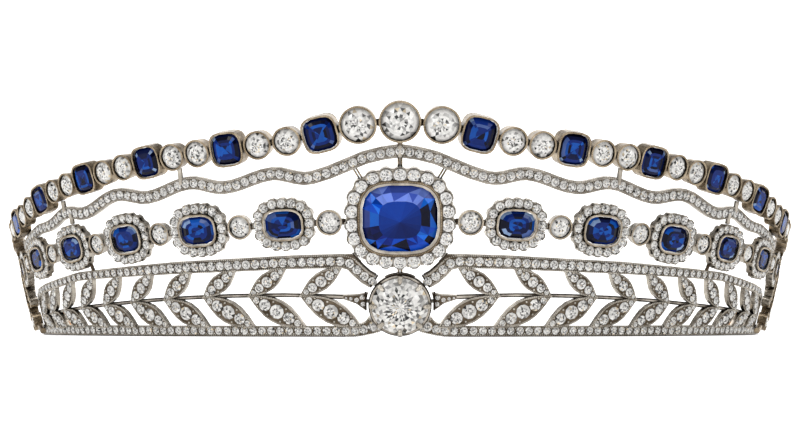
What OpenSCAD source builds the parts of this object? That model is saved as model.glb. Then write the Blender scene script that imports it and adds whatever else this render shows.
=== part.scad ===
// Diadem with a leaf frieze, a row of clusters, a waved ribbon and a crest of collets.
// The wall is a flared band: s runs along its lower edge from the front centre to an end,
// v runs up the wall, w runs out of it. All lengths are in millimetres.

/* [Plan and wall] */
// Radius of the front of the band, seen from above
front_radius = 88.5; // [84:0.5:94]
// Radius of the two sides of the band
side_radius = 52.5; // [49:0.5:57]
// Angle from the front centre to where a side begins
front_half_angle = 54; // [51:1:57]
// Length of the band from the front centre to one end
band_half_length = 127.5; // [124:0.5:132]
// Angle by which the wall leans outwards
wall_flare = 12.5; // [10:0.5:15]

/* [Base strip] */
// Thickness of the strip
strip_thickness = 1.8; // [1.6:0.1:2.4]
// Height of the strip up the wall
strip_height = 2.4; // [2:0.1:3]
// Length of the curl at each side of the front diamond
curl_length = 8; // [7:0.5:9]
// Length of an end loop
loop_length = 7; // [6:0.5:9]
// Height of an end loop
loop_height = 5.2; // [4.6:0.1:6]
// Width of an end loop across the strip
loop_width = 2; // [1.6:0.1:2.4]
// Thickness of the loop's gold
loop_wall = 1.1; // [0.8:0.1:1.4]

/* [Leaf frieze] */
// Height of the upper rail's middle over the top of the diamond's ring
rail_step = 2.85; // [2.6:0.05:3.1]
// Width of the upper rail near the front
rail_width = 3; // [2.6:0.1:3.2]
// Thickness of rails, leaves and ribbon
plate_thickness = 0.9; // [0.8:0.1:1.2]
// Height of the stem's highest point
stem_rise = 8.95; // [8.5:0.05:9.3]
// Width of the stem
stem_width = 0.8; // [0.7:0.05:1]
// Distance along the band of the first pair of leaves
first_leaf = 20.6; // [19:0.1:22]
// Distance along the band from the last pair of leaves to the cluster row's furthest point
leaf_inset = 11.8; // [11:0.2:14]
// Number of leaf pairs on a side
leaf_pairs = 10; // [8:1:12]
// Width of a leaf of the first pair as a share of its length
leaf_fullness = 0.34; // [0.28:0.01:0.38]

/* [Front diamond] */
// Height of the front diamond's centre
claw_rise = 7.05; // [6.9:0.05:7.3]
// Outer radius of the front diamond's ring
claw_ring_r = 6.4; // [6.1:0.05:6.5]
// Depth of the ring from back to front
claw_ring_depth = 3; // [2.4:0.1:3.4]
// Radius of a claw
claw_r = 0.45; // [0.35:0.05:0.55]
// Number of claws
claw_count = 8; // [6:1:10]

/* [Cluster row] */
// Height of the middle cluster's centre over the upper rail's middle
cluster_step = 9.3; // [9.1:0.1:9.6]
// Distance along the band from the row's furthest point to the crest's
cluster_inset = 7.5; // [7:0.5:8.5]
// Gap between neighbours in the row
cluster_gap = 0.25; // [0.15:0.05:0.4]
// Depth of a cluster from back to front
cluster_depth = 2; // [1.8:0.1:2.6]
// Number of small stones round the middle sapphire
centre_halo_count = 22; // [20:2:24]
// Number of small stones round each other sapphire
halo_count = 16; // [14:2:18]

/* [Ribbon] */
// Distance along the band from the ribbon's end to the crest's furthest point
ribbon_inset = 17; // [16.5:0.5:18]
// Width of the ribbon
ribbon_width = 2.8; // [2.4:0.1:2.9]

/* [Crest] */
// Height of the top diamond's centre over the middle cluster's
crest_step = 20.7; // [20.4:0.1:21.5]
// Furthest distance of the crest along the band
crest_reach = 118.5; // [117.5:0.5:120]
// Gap between neighbours in the crest
crest_gap = 0.25; // [0.15:0.05:0.4]
// Depth of the top collet of the crest from back to front
crest_depth = 3.4; // [2.8:0.1:3.8]

/* [Settings and fits] */
// Thickness of a setting's rim
rim = 0.4; // [0.3:0.05:0.5]
// Clearance between a stone and its rim
stone_fit = 0.06; // [0.05:0.01:0.1]
// Gap between a post and the tier that it is soldered to
seat_gap = 0.06; // [0.05:0.01:0.1]
// Radius of a post between two tiers
post_r = 0.55; // [0.45:0.05:0.7]

/* [Hidden] */

degree = 180 / PI;
front_arc = front_radius * front_half_angle / degree;
left = -1;
right = 1;
round_fn = 32;
weld = 0.3;
strip_rise = strip_height * cos(wall_flare);
crest_back = 0.08;
cluster_back = 0;

// Each tier stands over the one below, and the rows end short of the crest
rail_rise = claw_rise + claw_ring_r + rail_step;
cluster_rise = rail_rise + cluster_step;
crest_rise = cluster_rise + crest_step;
cluster_reach = crest_reach - cluster_inset;
ribbon_reach = crest_reach - ribbon_inset;

// How far the wall has turned from the front at s, in degrees
function turn(s) = s < front_arc
    ? s * degree / front_radius
    : front_half_angle + (s - front_arc) * degree / side_radius;
function side_centre() = (front_radius - side_radius) * [sin(front_half_angle), -cos(front_half_angle)]
    + [0, front_radius];
function plan_x(s) = s < front_arc
    ? front_radius * sin(turn(s))
    : side_centre()[0] + side_radius * sin(turn(s));
function plan_y(s) = s < front_arc
    ? front_radius * (1 - cos(turn(s)))
    : side_centre()[1] - side_radius * cos(turn(s));

function outward(v, w) = v * sin(wall_flare) + w * cos(wall_flare);
// Point of the wall, measured from the front centre of the strip
function from_front(side, s, v, w) = [
    side * (plan_x(s) + sin(turn(s)) * outward(v, w)),
    plan_y(s) - cos(turn(s)) * outward(v, w),
    v * cos(wall_flare) - w * sin(wall_flare)
];
function wall(side, s, v, w) = from_front(side, s, v, w) - [0, middle_y, 0];
// Length on the wall at height v for a unit of s
function stretch(s, v) = 1 + v * sin(wall_flare) / (s < front_arc ? front_radius : side_radius);

module on_wall(side, s, v, w, spin = 0)
    translate(wall(side, s, v, w))
        rotate([90 + wall_flare, 0, side * turn(s)])
            rotate([0, 0, side * spin])
                children();

// Lines on the wall, with columns: share of the reach, share of the rise
crest_shares = [
    [0, 1], [0.066, 0.985], [0.127, 0.94], [0.18, 0.912], [0.27, 0.882], [0.37, 0.852], [0.48, 0.807],
    [0.58, 0.757], [0.66, 0.708], [0.73, 0.65], [0.8, 0.585], [0.87, 0.535], [0.94, 0.505],
    [0.985, 0.46], [1, 0.41], [0.993, 0.35], [0.977, 0.28], [0.95, 0.2], [0.92, 0.13], [0.886, 0.075]
];
cluster_shares = [
    [0, 1], [0.125, 0.968], [0.285, 0.935], [0.45, 0.885], [0.53, 0.848], [0.6, 0.812], [0.68, 0.78],
    [0.75, 0.738], [0.82, 0.695], [0.88, 0.66], [0.94, 0.62], [0.996, 0.523], [0.975, 0.387],
    [0.949, 0.309]
];
// Turning points of the ribbon, with columns: share of its reach, share of the height that is free
// between the rows
ribbon_shares = [
    [0, 0.7], [0.167, 0.2], [0.245, 0.7], [0.347, 0.3], [0.423, 0.71], [0.522, 0.3],
    [0.606, 0.84], [0.706, 0.12], [0.772, 0.72], [0.845, 0.07], [0.895, 0.5], [1, -0.38]
];
// Upper rail, with columns: share of the cluster row's reach, of the rail's rise and of its width
rail_shares = [
    [0.05, 0.735, 1], [0.0625, 0.785, 1], [0.076, 0.872, 1], [0.0885, 0.965, 1], [0.106, 1, 1],
    [0.2, 0.985, 0.97], [0.31, 0.95, 0.93], [0.43, 0.92, 0.88], [0.55, 0.875, 0.76], [0.63, 0.845, 0.68],
    [0.7, 0.815, 0.64], [0.77, 0.74, 0.62], [0.84, 0.67, 0.6], [0.89, 0.61, 0.58], [0.914, 0.55, 0.5],
    [0.916, 0.44, 0.4], [0.91, 0.28, 0.4], [0.9, 0.08, 0.4]
];
// Stem, with columns: share of the cluster row's reach, of the stem's rise and of its width
stem_shares = [
    [0.0625, 0.86, 4.8], [0.08, 0.91, 2.6], [0.105, 0.955, 1.2], [0.16, 0.985, 1], [0.22, 1, 1],
    [0.32, 0.985, 1], [0.42, 0.94, 1], [0.52, 0.87, 1], [0.62, 0.78, 1], [0.71, 0.7, 1],
    [0.79, 0.62, 0.9], [0.86, 0.53, 0.9], [0.905, 0.45, 0.9]
];

// A row follows its line: places are found by the length measured on the wall
function running(list, k = 0, sum = 0) = k == len(list)
    ? [sum]
    : concat([sum], running(list, k + 1, sum + list[k]));
function lengths_on(line, w) = running([
    for (k = [1:len(line) - 1])
        norm(from_front(right, line[k][0], line[k][1], w)
            - from_front(right, line[k - 1][0], line[k - 1][1], w))
]);
function scaled(shares, reach, rise) = [for (row = shares) [row[0] * reach, row[1] * rise]];
function column(keys, line, c) = [for (k = [0:len(line) - 1]) [keys[k], line[k][c]]];

// Depth at which the clusters stand closest
cluster_middle_w = 1;
crest_line = scaled(crest_shares, crest_reach, crest_rise);
crest_keys = lengths_on(crest_line, crest_depth / 2);
cluster_line = scaled(cluster_shares, cluster_reach, cluster_rise);
cluster_keys = lengths_on(cluster_line, cluster_middle_w);

function at_length(keys, line, d) = [
    lookup(d, column(keys, line, 0)),
    lookup(d, column(keys, line, 1))
];
slope_span = 1.2;
function slope_at(keys, line, d) =
    let (a = at_length(keys, line, d - slope_span), b = at_length(keys, line, d + slope_span))
        atan2(b[1] - a[1], (b[0] - a[0]) * stretch(a[0], a[1]));

// Crest collets from the top outwards, sized so that the row fills its line
crest_last = 26;
crest_taper = 0.0135;
function is_crest_sapphire(k) = k > 1 && k < 24 && (k - 2) % 3 == 0;
// Radii as shares of the top collet's: the second, then sapphires and diamonds that taper outwards
function tapered(share, k) = share * (1 - crest_taper * (k - 2));
function sapphire_share(k) = k == 0 ? 1 : k == 1 ? 0.9 : tapered(0.88, k);
function crest_share(k) = k < 2 || is_crest_sapphire(k) ? sapphire_share(k) : tapered(0.71, k);
crest_spans = [for (k = [1:crest_last]) crest_share(k - 1) + crest_share(k)];
function total(list) = running(list)[len(list)];
crest_unit = (crest_keys[len(crest_keys) - 1] - crest_last * crest_gap) / total(crest_spans);
function crest_r(k) = crest_unit * crest_share(k);
// The collets also get shallower outwards
crest_thinning = 0.016;
function crest_depth_at(k) = crest_depth * (1 - crest_thinning * k);
crest_at = running([for (span = crest_spans) span * crest_unit + crest_gap]);
function crest_place(k) = at_length(crest_keys, crest_line, crest_at[k]);
function crest_slope(k) = k == 0 ? 0 : slope_at(crest_keys, crest_line, crest_at[k]);

// The model is centred front to back between the top collet and the loops
front_y = -outward(crest_rise + crest_unit, crest_back + crest_depth);
back_y = plan_y(band_half_length) + (loop_length + seat_gap) * sin(turn(band_half_length));
middle_y = (front_y + back_y) / 2;

// Cluster row from the middle outwards: even places are clusters, odd ones single stones.
// The row turns down after the last cluster, which takes some more room.
cluster_last = 15;
cluster_size = [
    1.72, 0.405, 1, 0.39, 1.02, 0.37, 0.97, 0.35, 0.9, 0.33, 0.82, 0.31, 0.68, 0.24, 0.21, 0.19
];
last_cluster = 12;
turn_room = 0.2;
function is_cluster(k) = k % 2 == 0 && k <= last_cluster;
cluster_spans = [
    for (k = [1:cluster_last])
        cluster_size[k - 1] + cluster_size[k] + (k == last_cluster + 1 ? turn_room : 0)
];
cluster_unit = (cluster_keys[len(cluster_keys) - 1] - cluster_last * cluster_gap) / total(cluster_spans);
function cluster_half_width(k) = cluster_unit * cluster_size[k];
// Height of a cluster as a share of its width
centre_aspect = 0.93;
side_aspect = 0.84;
function cluster_half_height(k) =
    cluster_half_width(k) * (k == 0 ? centre_aspect : is_cluster(k) ? side_aspect : 1);
cluster_at = running([for (span = cluster_spans) span * cluster_unit + cluster_gap]);
function cluster_place(k) = at_length(cluster_keys, cluster_line, cluster_at[k]);
function cluster_slope(k) = k == 0 ? 0 : slope_at(cluster_keys, cluster_line, cluster_at[k]);

// The ribbon waves in the height left free between the clusters' tops and the crest's undersides
// The last crest collet that hangs over the ribbon is before the row turns back
last_under = 17;
cluster_tops = [
    for (k = [0:2:last_cluster])
        let (p = cluster_place(k)) [p[0], p[1] + cluster_half_height(k)]
];
crest_undersides = [
    for (k = [0:last_under])
        let (p = crest_place(k)) [p[0], p[1] - crest_unit * sapphire_share(k)]
];
// Width of the ribbon, with columns: share of the reach, share of the width
ribbon_narrowing = [[0, 1], [0.7, 1], [0.85, 0.86], [1, 0.64]];
function ribbon_w(s) = ribbon_width * lookup(s / ribbon_reach, ribbon_narrowing);
function ribbon_point(s, share) =
    let (top = lookup(s, cluster_tops), free = lookup(s, crest_undersides) - top - ribbon_w(s))
        [s, top + ribbon_w(s) / 2 + free * share];
function eased(a, b, t) = a + (b - a) * (1 - cos(180 * t)) / 2;
ribbon_steps = 5;
ribbon_last = len(ribbon_shares) - 1;
ribbon_line = [
    for (k = [0:ribbon_last], j = [0:k == ribbon_last ? 0 : ribbon_steps - 1])
        let (a = ribbon_shares[k], b = ribbon_shares[min(k + 1, ribbon_last)], t = j / ribbon_steps)
            ribbon_point(ribbon_reach * (a[0] + (b[0] - a[0]) * t), eased(a[1], b[1], t))
];
function ribbon_v(s) = lookup(s, ribbon_line);

// A rounded box outline through n points
function signed_power(x, p) = sign(x) * pow(abs(x), p);
collet_power = 3.4;
function cushion(a, b, n, power = collet_power) = [
    for (k = [0:n - 1])
        let (t = 360 * (k + 0.5) / n)
            [a * signed_power(cos(t), 2 / power), b * signed_power(sin(t), 2 / power)]
];

// Small stones stand evenly round a squarish oval
oval_power = 2.6;
function oval(a, b, t) = [
    a * signed_power(cos(t), 2 / oval_power),
    b * signed_power(sin(t), 2 / oval_power)
];
function oval_normal(a, b, t) = atan2(
    signed_power(sin(t), 2 - 2 / oval_power) / b,
    signed_power(cos(t), 2 - 2 / oval_power) / a
);
oval_step = 3;
function oval_keys(a, b) = running([
    for (t = [oval_step:oval_step:360]) norm(oval(a, b, t) - oval(a, b, t - oval_step))
]);
function oval_angle(a, b, share) =
    let (keys = oval_keys(a, b), last = len(keys) - 1)
        lookup(share * keys[last], [for (k = [0:last]) [keys[k], oval_step * k]]);
function halo_stones(k) = k == 0 ? centre_halo_count : halo_count;
// Radius of the small stones' places as a share of the cluster's half height
centre_halo_share = 0.115;
side_halo_share = 0.175;
function halo_r(k) = cluster_half_height(k) * (k == 0 ? centre_halo_share : side_halo_share);
halo_edge = 0.6 * rim;
function halo_a(k) = cluster_half_width(k) - halo_r(k) - halo_edge;
function halo_b(k) = cluster_half_height(k) - halo_r(k) - halo_edge;
function halo_angles(k) = [
    for (j = [0:halo_stones(k) - 1])
        oval_angle(halo_a(k), halo_b(k), (j + (k == 0 ? 0.5 : 0)) / halo_stones(k))
];
// Directions of a scallop's corners from the stone that it goes round
scallop = [-54, -18, 18, 54];
function halo_outline(k) = [
    for (t = halo_angles(k), bend = scallop)
        let (out = oval_normal(halo_a(k), halo_b(k), t), r = halo_r(k) + halo_edge)
            oval(halo_a(k), halo_b(k), t) + r * [cos(out + bend), sin(out + bend)]
];
// Half sizes of the sapphire in a cluster. Its bezel's width is counted in rims.
centre_bezels = 2.4;
side_bezels = 1.1;
function bezel(k) = rim * (k == 0 ? centre_bezels : side_bezels);
function gem_a(k) = halo_a(k) - halo_r(k) - bezel(k) - stone_fit;
function gem_b(k) = halo_b(k) - halo_r(k) - bezel(k) - stone_fit;
gem_power = 3;
bezel_points = 20;
function gem_outline(k, grow) = cushion(gem_a(k) + grow, gem_b(k) + grow, bezel_points, gem_power);

// Band laid on the wall, its rows holding s, v and width
module band(side, rows, back, front) {
    last = len(rows) - 1;
    function edge(k, sign) =
        let (
            a = rows[max(k - 1, 0)],
            b = rows[min(k + 1, last)],
            m = stretch(rows[k][0], rows[k][1]),
            run = [(b[0] - a[0]) * m, b[1] - a[1]],
            n = [-run[1], run[0]] / norm(run)
        )
            [rows[k][0] + sign * n[0] * rows[k][2] / 2 / m, rows[k][1] + sign * n[1] * rows[k][2] / 2];
    corners = [
        for (k = [0:last], c = [[-1, back], [1, back], [1, front], [-1, front]])
            let (e = edge(k, c[0]))
                wall(side, e[0], e[1], c[1])
    ];
    sides = [
        for (k = [0:last - 1], j = [0:3])
            [4 * k + j, 4 * k + (j + 1) % 4, 4 * k + 4 + (j + 1) % 4, 4 * k + 4 + j]
    ];
    faces = concat(sides, [[3, 2, 1, 0]], [[for (j = [0:3]) 4 * last + j]]);
    polyhedron(corners, side == left ? faces : [for (f = faces) [for (j = [1:len(f)]) f[len(f) - j]]]);
}

// Round rod between two points
module rod(a, b, r) {
    d = b - a;
    translate(a)
        rotate([0, acos(d[2] / norm(d)), atan2(d[1], d[0])])
            cylinder(h = norm(d), r = r, $fn = 16);
}

// Stone with a table: layers hold a share of the outline and a height
module cut_stone(outline, layers) {
    n = len(outline);
    last = len(layers) - 1;
    points = [for (layer = layers, p = outline) [p[0] * layer[0], p[1] * layer[0], layer[1]]];
    sides = [for (k = [0:last - 1], j = [0:n - 1])
        [n * k + j, n * k + (j + 1) % n, n * k + n + (j + 1) % n, n * k + n + j]];
    table = [for (j = [0:n - 1]) n - 1 - j];
    culet = [for (j = [0:n - 1]) n * last + j];
    polyhedron(points, concat(sides, [table, culet]));
}
function ring(r, n) = [for (k = [0:n - 1]) r * [cos(360 * (k + 0.5) / n), sin(360 * (k + 0.5) / n)]];
// Height of a round stone's lower part as a share of its radius
pavilion = 0.78;
// Layers from the table down to a small culet, for a stone of half width r
function brilliant(r) = [[0.56, 0.3 * r], [1, 0], [0.06, -pavilion * r]];
function step_cut(r) = [[0.6, 0.26 * r], [1, 0], [0.56, -0.4 * r], [0.12, -0.62 * r]];

module round_stone(r, n) color("white") cut_stone(ring(r, n), brilliant(r));
module sapphire(a, b, n, power)
    color("royalblue")
        cut_stone(cushion(a, b, n, power), step_cut(min(a, b)));

// Collets: a straight seat round the girdle, a sloping bore under it. Their backs are narrower.
collet_back = 0.92;
collet_slope = 1.6 * rim;
function girdle_drop(r) = 0.18 * r;
module round_collet(r, depth) {
    seat = depth - girdle_drop(r) - stone_fit;
    difference() {
        cylinder(h = depth, r1 = collet_back * r, r2 = r, $fn = round_fn);
        translate([0, 0, seat])
            cylinder(h = depth, r = r - rim, $fn = round_fn);
        translate([0, 0, seat - collet_slope])
            cylinder(h = collet_slope, r1 = r - rim - collet_slope, r2 = r - rim, $fn = round_fn);
        translate([0, 0, -1])
            cylinder(h = 1 + seat - collet_slope / 2, r = r - rim - collet_slope, $fn = round_fn);
    }
}
module cushion_collet(r, depth) {
    difference() {
        linear_extrude(depth)
            polygon(cushion(r, r, bezel_points));
        translate([0, 0, -1])
            linear_extrude(depth + 2)
                polygon(cushion(r - rim, r - rim, bezel_points));
    }
}

// Base strip
module strip_arc(centre, radius, from, to) {
    lean = strip_rise * tan(wall_flare);
    translate([centre[0], centre[1] - middle_y, 0])
        rotate([0, 0, from - 90])
            rotate_extrude(angle = to - from, $fn = 180)
                polygon([
                    [radius - strip_thickness, 0],
                    [radius, 0],
                    [radius + lean, strip_rise],
                    [radius - strip_thickness + lean, strip_rise]
                ]);
}
curl_start = 11;
module strip_side(side) {
    mirror([side == right ? 0 : 1, 0, 0]) {
        strip_arc([0, front_radius], front_radius, turn(curl_start), front_half_angle);
        strip_arc(side_centre(), side_radius, front_half_angle, turn(band_half_length));
    }
    strip_curl(side);
}
// Fishtail at the front end of the strip, with columns: share of the curl's length, share of the
// strip's height
curl_shares = [
    [-0.05, 0], [-0.05, 1], [0.3, 1.08], [0.45, 1.3], [0.56, 1.76], [0.66, 1.47], [0.82, 1.02],
    [0.98, 0.72], [0.82, 0.46], [0.62, 0.27], [0.4, 0.12], [0.18, 0.03]
];
module strip_curl(side) {
    middle = curl_start - curl_length / 2;
    on_wall(side, middle, 0, -strip_thickness)
        linear_extrude(strip_thickness)
            polygon([
                for (row = curl_shares)
                    [side * (curl_length / 2 - row[0] * curl_length), row[1] * strip_height]
            ]);
}

// The loops stand proud of the strip's back
loop_proud = 0.2;
module end_loop(side) {
    s = band_half_length;
    half = loop_height / 2;
    straight = loop_length / 2 - half;
    front = strip_thickness - loop_width / 2 + loop_proud;
    color("goldenrod")
        translate([side * plan_x(s), plan_y(s) - middle_y, half])
            rotate([0, 0, side * turn(s)])
                translate([side * (loop_length / 2 + seat_gap), front, 0])
                    rotate([90, 0, 0])
                        translate([0, 0, -loop_width / 2])
                            difference() {
                                stadium(half, straight, loop_width, 0);
                                stadium(half - loop_wall, straight, loop_width, 1);
                            }
}
module stadium(r, straight, width, over) {
    translate([0, 0, -over]) {
        for (x = [-straight, straight])
            translate([x, 0, 0])
                cylinder(h = width + 2 * over, r = r, $fn = round_fn);
        translate([-straight, -r, 0])
            cube([2 * straight, 2 * r, width + 2 * over]);
    }
}

// Leaf frieze
function widened(shares, reach, rise, width) = [
    for (row = shares) [row[0] * reach, row[1] * rise, row[2] * width]
];
rail_rows = widened(rail_shares, cluster_reach, rail_rise, rail_width);
stem_rows = widened(stem_shares, cluster_reach, stem_rise, stem_width);
rail_rising = [for (k = [3:13]) rail_rows[k]];
function rail_v(s) = lookup(s, [for (row = rail_rising) [row[0], row[1]]]);
function rail_w(s) = lookup(s, [for (row = rail_rising) [row[0], row[2]]]);
function stem_v(s) = lookup(s, [for (row = stem_rows) [row[0], row[1]]]);
plate_front = 0.3;
plate_back = plate_front - plate_thickness;

// The pitch shrinks from pair to pair and is worked out so that the pairs fill the frieze
leaf_taper = 0.055;
leaf_shares = [for (n = [0:leaf_pairs - 2]) 1 - leaf_taper * n];
leaf_pitch = (cluster_reach - leaf_inset - first_leaf) / total(leaf_shares);
function pitch_of(n) = leaf_pitch * (1 - leaf_taper * n);
leaf_at = running([for (n = [0:leaf_pairs - 1]) pitch_of(n)], 0, first_leaf);
upper_lean = 0.8;
lower_lean = 1.12;
// A leaf tapers to a narrow tip at both ends
leaf_tip = 0.12;
leaf_steps = 6;
// Each pair is somewhat fuller than the one before
leaf_swell = 0.035;
module leaf(side, root, tip, fullness) {
    m = stretch(root[0], root[1]);
    run = [(tip[0] - root[0]) * m, tip[1] - root[1]];
    length = norm(run);
    half = length * fullness / 2;
    middle = (root + tip) / 2;
    spin = atan2(run[1], run[0]);
    arc = [
        for (k = [0:leaf_steps])
            [length * (k / leaf_steps - 0.5), half * sin(180 * k / leaf_steps) + leaf_tip]
    ];
    back = [for (k = [leaf_steps:-1:0]) [arc[k][0], -arc[k][1]]];
    on_wall(side, middle[0], middle[1], plate_back, spin)
        mirror([side == right ? 0 : 1, 0, 0])
            linear_extrude(plate_thickness)
                polygon(concat(arc, back));
}
module leaf_pair(side, n) {
    s = leaf_at[n];
    upper_s = s - upper_lean * pitch_of(n);
    lower_s = s - lower_lean * pitch_of(n);
    root = [s, stem_v(s)];
    fullness = leaf_fullness * (1 + leaf_swell * n);
    leaf(side, root, [upper_s, rail_v(upper_s) - rail_w(upper_s) / 2 + weld], fullness);
    leaf(side, root, [lower_s, strip_height - weld], fullness);
}
module frieze_side(side) {
    band(side, rail_rows, plate_back, plate_front);
    band(side, stem_rows, plate_back, plate_front - weld);
    for (n = [0:leaf_pairs - 1])
        leaf_pair(side, n);
}

// Front diamond's ring and claws
ring_back = -1.5;
// The diamond's girdle and the claws' bends stand in front of the ring
girdle_lift = 0.3;
claw_lift = 0.8;
girdle_w = ring_back + claw_ring_depth + girdle_lift;
claw_reach = claw_ring_r - claw_r;
stone_r = claw_reach - claw_r - stone_fit;
claw_top = claw_ring_depth + claw_lift;
module claw(angle) {
    rotate([0, 0, angle]) {
        translate([claw_reach, 0, 0])
            cylinder(h = claw_top, r = claw_r, $fn = 16);
        translate([claw_reach - claw_r, 0, claw_top])
            rotate([0, 90, 0])
                cylinder(h = 2 * claw_r, r = claw_r, $fn = 16);
    }
}
module claw_setting() {
    on_wall(right, 0, claw_rise, ring_back) {
        difference() {
            cylinder(h = claw_ring_depth, r = claw_ring_r, $fn = 64);
            translate([0, 0, -1])
                cylinder(h = claw_ring_depth + 2, r = claw_reach - claw_r, $fn = 64);
        }
        for (k = [0:claw_count - 1])
            claw(90 + 360 * k / claw_count);
        gallery_bar();
    }
}
// Curved bar over the ring, under the middle cluster
gallery_angle = 56;
gallery_r = 0.35;
gallery_out = 0.1;
module gallery_bar()
    translate([0, 0, claw_ring_depth / 2])
        rotate([0, 0, 90 - gallery_angle / 2])
            rotate_extrude(angle = gallery_angle, $fn = 64)
                translate([claw_ring_r + gallery_out, 0])
                    circle(r = gallery_r, $fn = 16);

// Rods behind the plates that carry the ring between the two halves
ring_link_r = 0.4;
// Where a rod meets the curl, as shares of the curl's length and of the strip's height
curl_hold = [0.75, 0.9];
module ring_links(side) {
    link_w = plate_back + ring_link_r / 2;
    inner = claw_ring_r - claw_r;
    for (link = [
        [stem_rows[0][0] + ring_link_r, stem_rows[0][1]],
        [rail_rows[0][0] + ring_link_r, rail_rows[0][1]],
        [curl_start - curl_hold[0] * curl_length, curl_hold[1] * strip_height]
    ]) {
        to = [0, claw_rise];
        run = [link[0] * stretch(link[0], link[1]), link[1] - claw_rise];
        stop = to + (link - to) * inner / norm(run);
        rod(wall(side, link[0], link[1], link_w), wall(side, stop[0], stop[1], link_w), ring_link_r);
    }
}
module base_frame() color("silver") {
    for (side = [left, right]) {
        strip_side(side);
        frieze_side(side);
        ring_links(side);
    }
    claw_setting();
}

// Waved ribbon and its posts
ribbon_back = -0.4;
ribbon_front = ribbon_back + plate_thickness;
ribbon_rows = [for (p = ribbon_line) [p[0], p[1], ribbon_w(p[0])]];
post_w = 0.35;
function collet_r_at(k, w) =
    crest_r(k) * (collet_back + (1 - collet_back) * (w + post_r - crest_back) / crest_depth_at(k));
// Posts from the ribbon, by the crest collet that they stand under and the cluster that they stand on
crest_posts = [[right, 0], [left, 7], [right, 7], [left, 13], [right, 13]];
cluster_posts = [[right, 0], [left, 8], [right, 8]];
module ribbon_posts() {
    for (post = crest_posts) {
        s = crest_place(post[1])[0];
        top = crest_place(post[1])[1] - collet_r_at(post[1], post_w) - seat_gap;
        rod(wall(post[0], s, ribbon_v(s), post_w), wall(post[0], s, top, post_w), post_r);
    }
    for (post = cluster_posts) {
        s = cluster_place(post[1])[0];
        foot = cluster_place(post[1])[1] + cluster_half_height(post[1]) + seat_gap;
        rod(wall(post[0], s, ribbon_v(s), post_w), wall(post[0], s, foot, post_w), post_r);
    }
}
module wave_ribbon() color("silver") {
    for (side = [left, right])
        band(side, ribbon_rows, ribbon_back, ribbon_front);
    ribbon_posts();
}

// Clusters and single stones
// How far the small stones' plate, and the stones' girdles, lie under the bezel's front
halo_drop = 0.5;
gem_drop = 0.6;
function halo_stone_r(k) = halo_r(k) - 2 * stone_fit;
// The groove that holds the small stones is as deep as they are
function channel_depth(k) = gem_drop - halo_drop + pavilion * halo_stone_r(k) + stone_fit;
// The middle cluster is flat and wide on the curved wall: more depth lets its neighbours' links meet it
middle_extra = 0.8;
module cluster(side, k) {
    p = cluster_place(k);
    extra = k == 0 ? middle_extra : 0;
    depth = cluster_depth + extra;
    on_wall(side, p[0], p[1], cluster_back - extra, cluster_slope(k))
        difference() {
            union() {
                linear_extrude(depth - halo_drop)
                    polygon(halo_outline(k));
                linear_extrude(depth)
                    polygon(gem_outline(k, bezel(k)));
            }
            translate([0, 0, depth - halo_drop - channel_depth(k)])
                channel(k);
            translate([0, 0, -1])
                linear_extrude(depth + 2)
                    polygon(gem_outline(k, 0));
        }
}
module channel(k)
    linear_extrude(channel_depth(k) + 1)
        difference() {
            polygon([for (t = [0:10:350]) oval(halo_a(k) + halo_r(k), halo_b(k) + halo_r(k), t)]);
            polygon(gem_outline(k, bezel(k)));
        }
// Bar between two neighbours of a row, soldered to the side of each
link_r = 0.4;
link_bite = 0.05;
module row_link(side, a, b, ra, rb, w) {
    pa = wall(side, a[0], a[1], w);
    pb = wall(side, b[0], b[1], w);
    run = (pb - pa) / norm(pb - pa);
    rod(pa + run * (collet_back * ra - link_bite), pb - run * (collet_back * rb - link_bite), link_r);
}
single_depth = 1.8;
cluster_link_w = 0.6;
module cluster_row() color("silver") {
    cluster(right, 0);
    for (side = [left, right]) {
        for (k = [1:cluster_last]) {
            p = cluster_place(k);
            if (is_cluster(k))
                cluster(side, k);
            else
                on_wall(side, p[0], p[1], cluster_back, 0)
                    round_collet(cluster_half_width(k), single_depth);
        }
        for (k = [1:cluster_last])
            row_link(side, cluster_place(k - 1), cluster_place(k),
                cluster_half_width(k - 1), cluster_half_width(k), cluster_link_w);
    }
}

// Crest
crest_link_w = 0.9;
module crest_collet(side, k) {
    p = crest_place(k);
    on_wall(side, p[0], p[1], crest_back, crest_slope(k))
        if (is_crest_sapphire(k))
            cushion_collet(crest_r(k), crest_depth_at(k));
        else
            round_collet(crest_r(k), crest_depth_at(k));
}
// Plain bar that ends the crest in front of the strip
end_bar_r = 0.7;
end_bar_length = 5;
module crest_end(side) {
    p = crest_place(crest_last);
    w = plate_front + seat_gap + end_bar_r;
    a = wall(side, p[0], p[1], w);
    b = wall(side, p[0] - end_bar_length, strip_height / 2, w);
    run = (b - a) / norm(b - a);
    rod(a + run * (collet_back * crest_r(crest_last) - link_bite), b, end_bar_r);
}
module crest_row() color("silver") {
    crest_collet(right, 0);
    for (side = [left, right]) {
        for (k = [1:crest_last]) {
            crest_collet(side, k);
            row_link(side, crest_place(k - 1), crest_place(k), crest_r(k - 1), crest_r(k), crest_link_w);
        }
        crest_end(side);
    }
}

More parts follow.
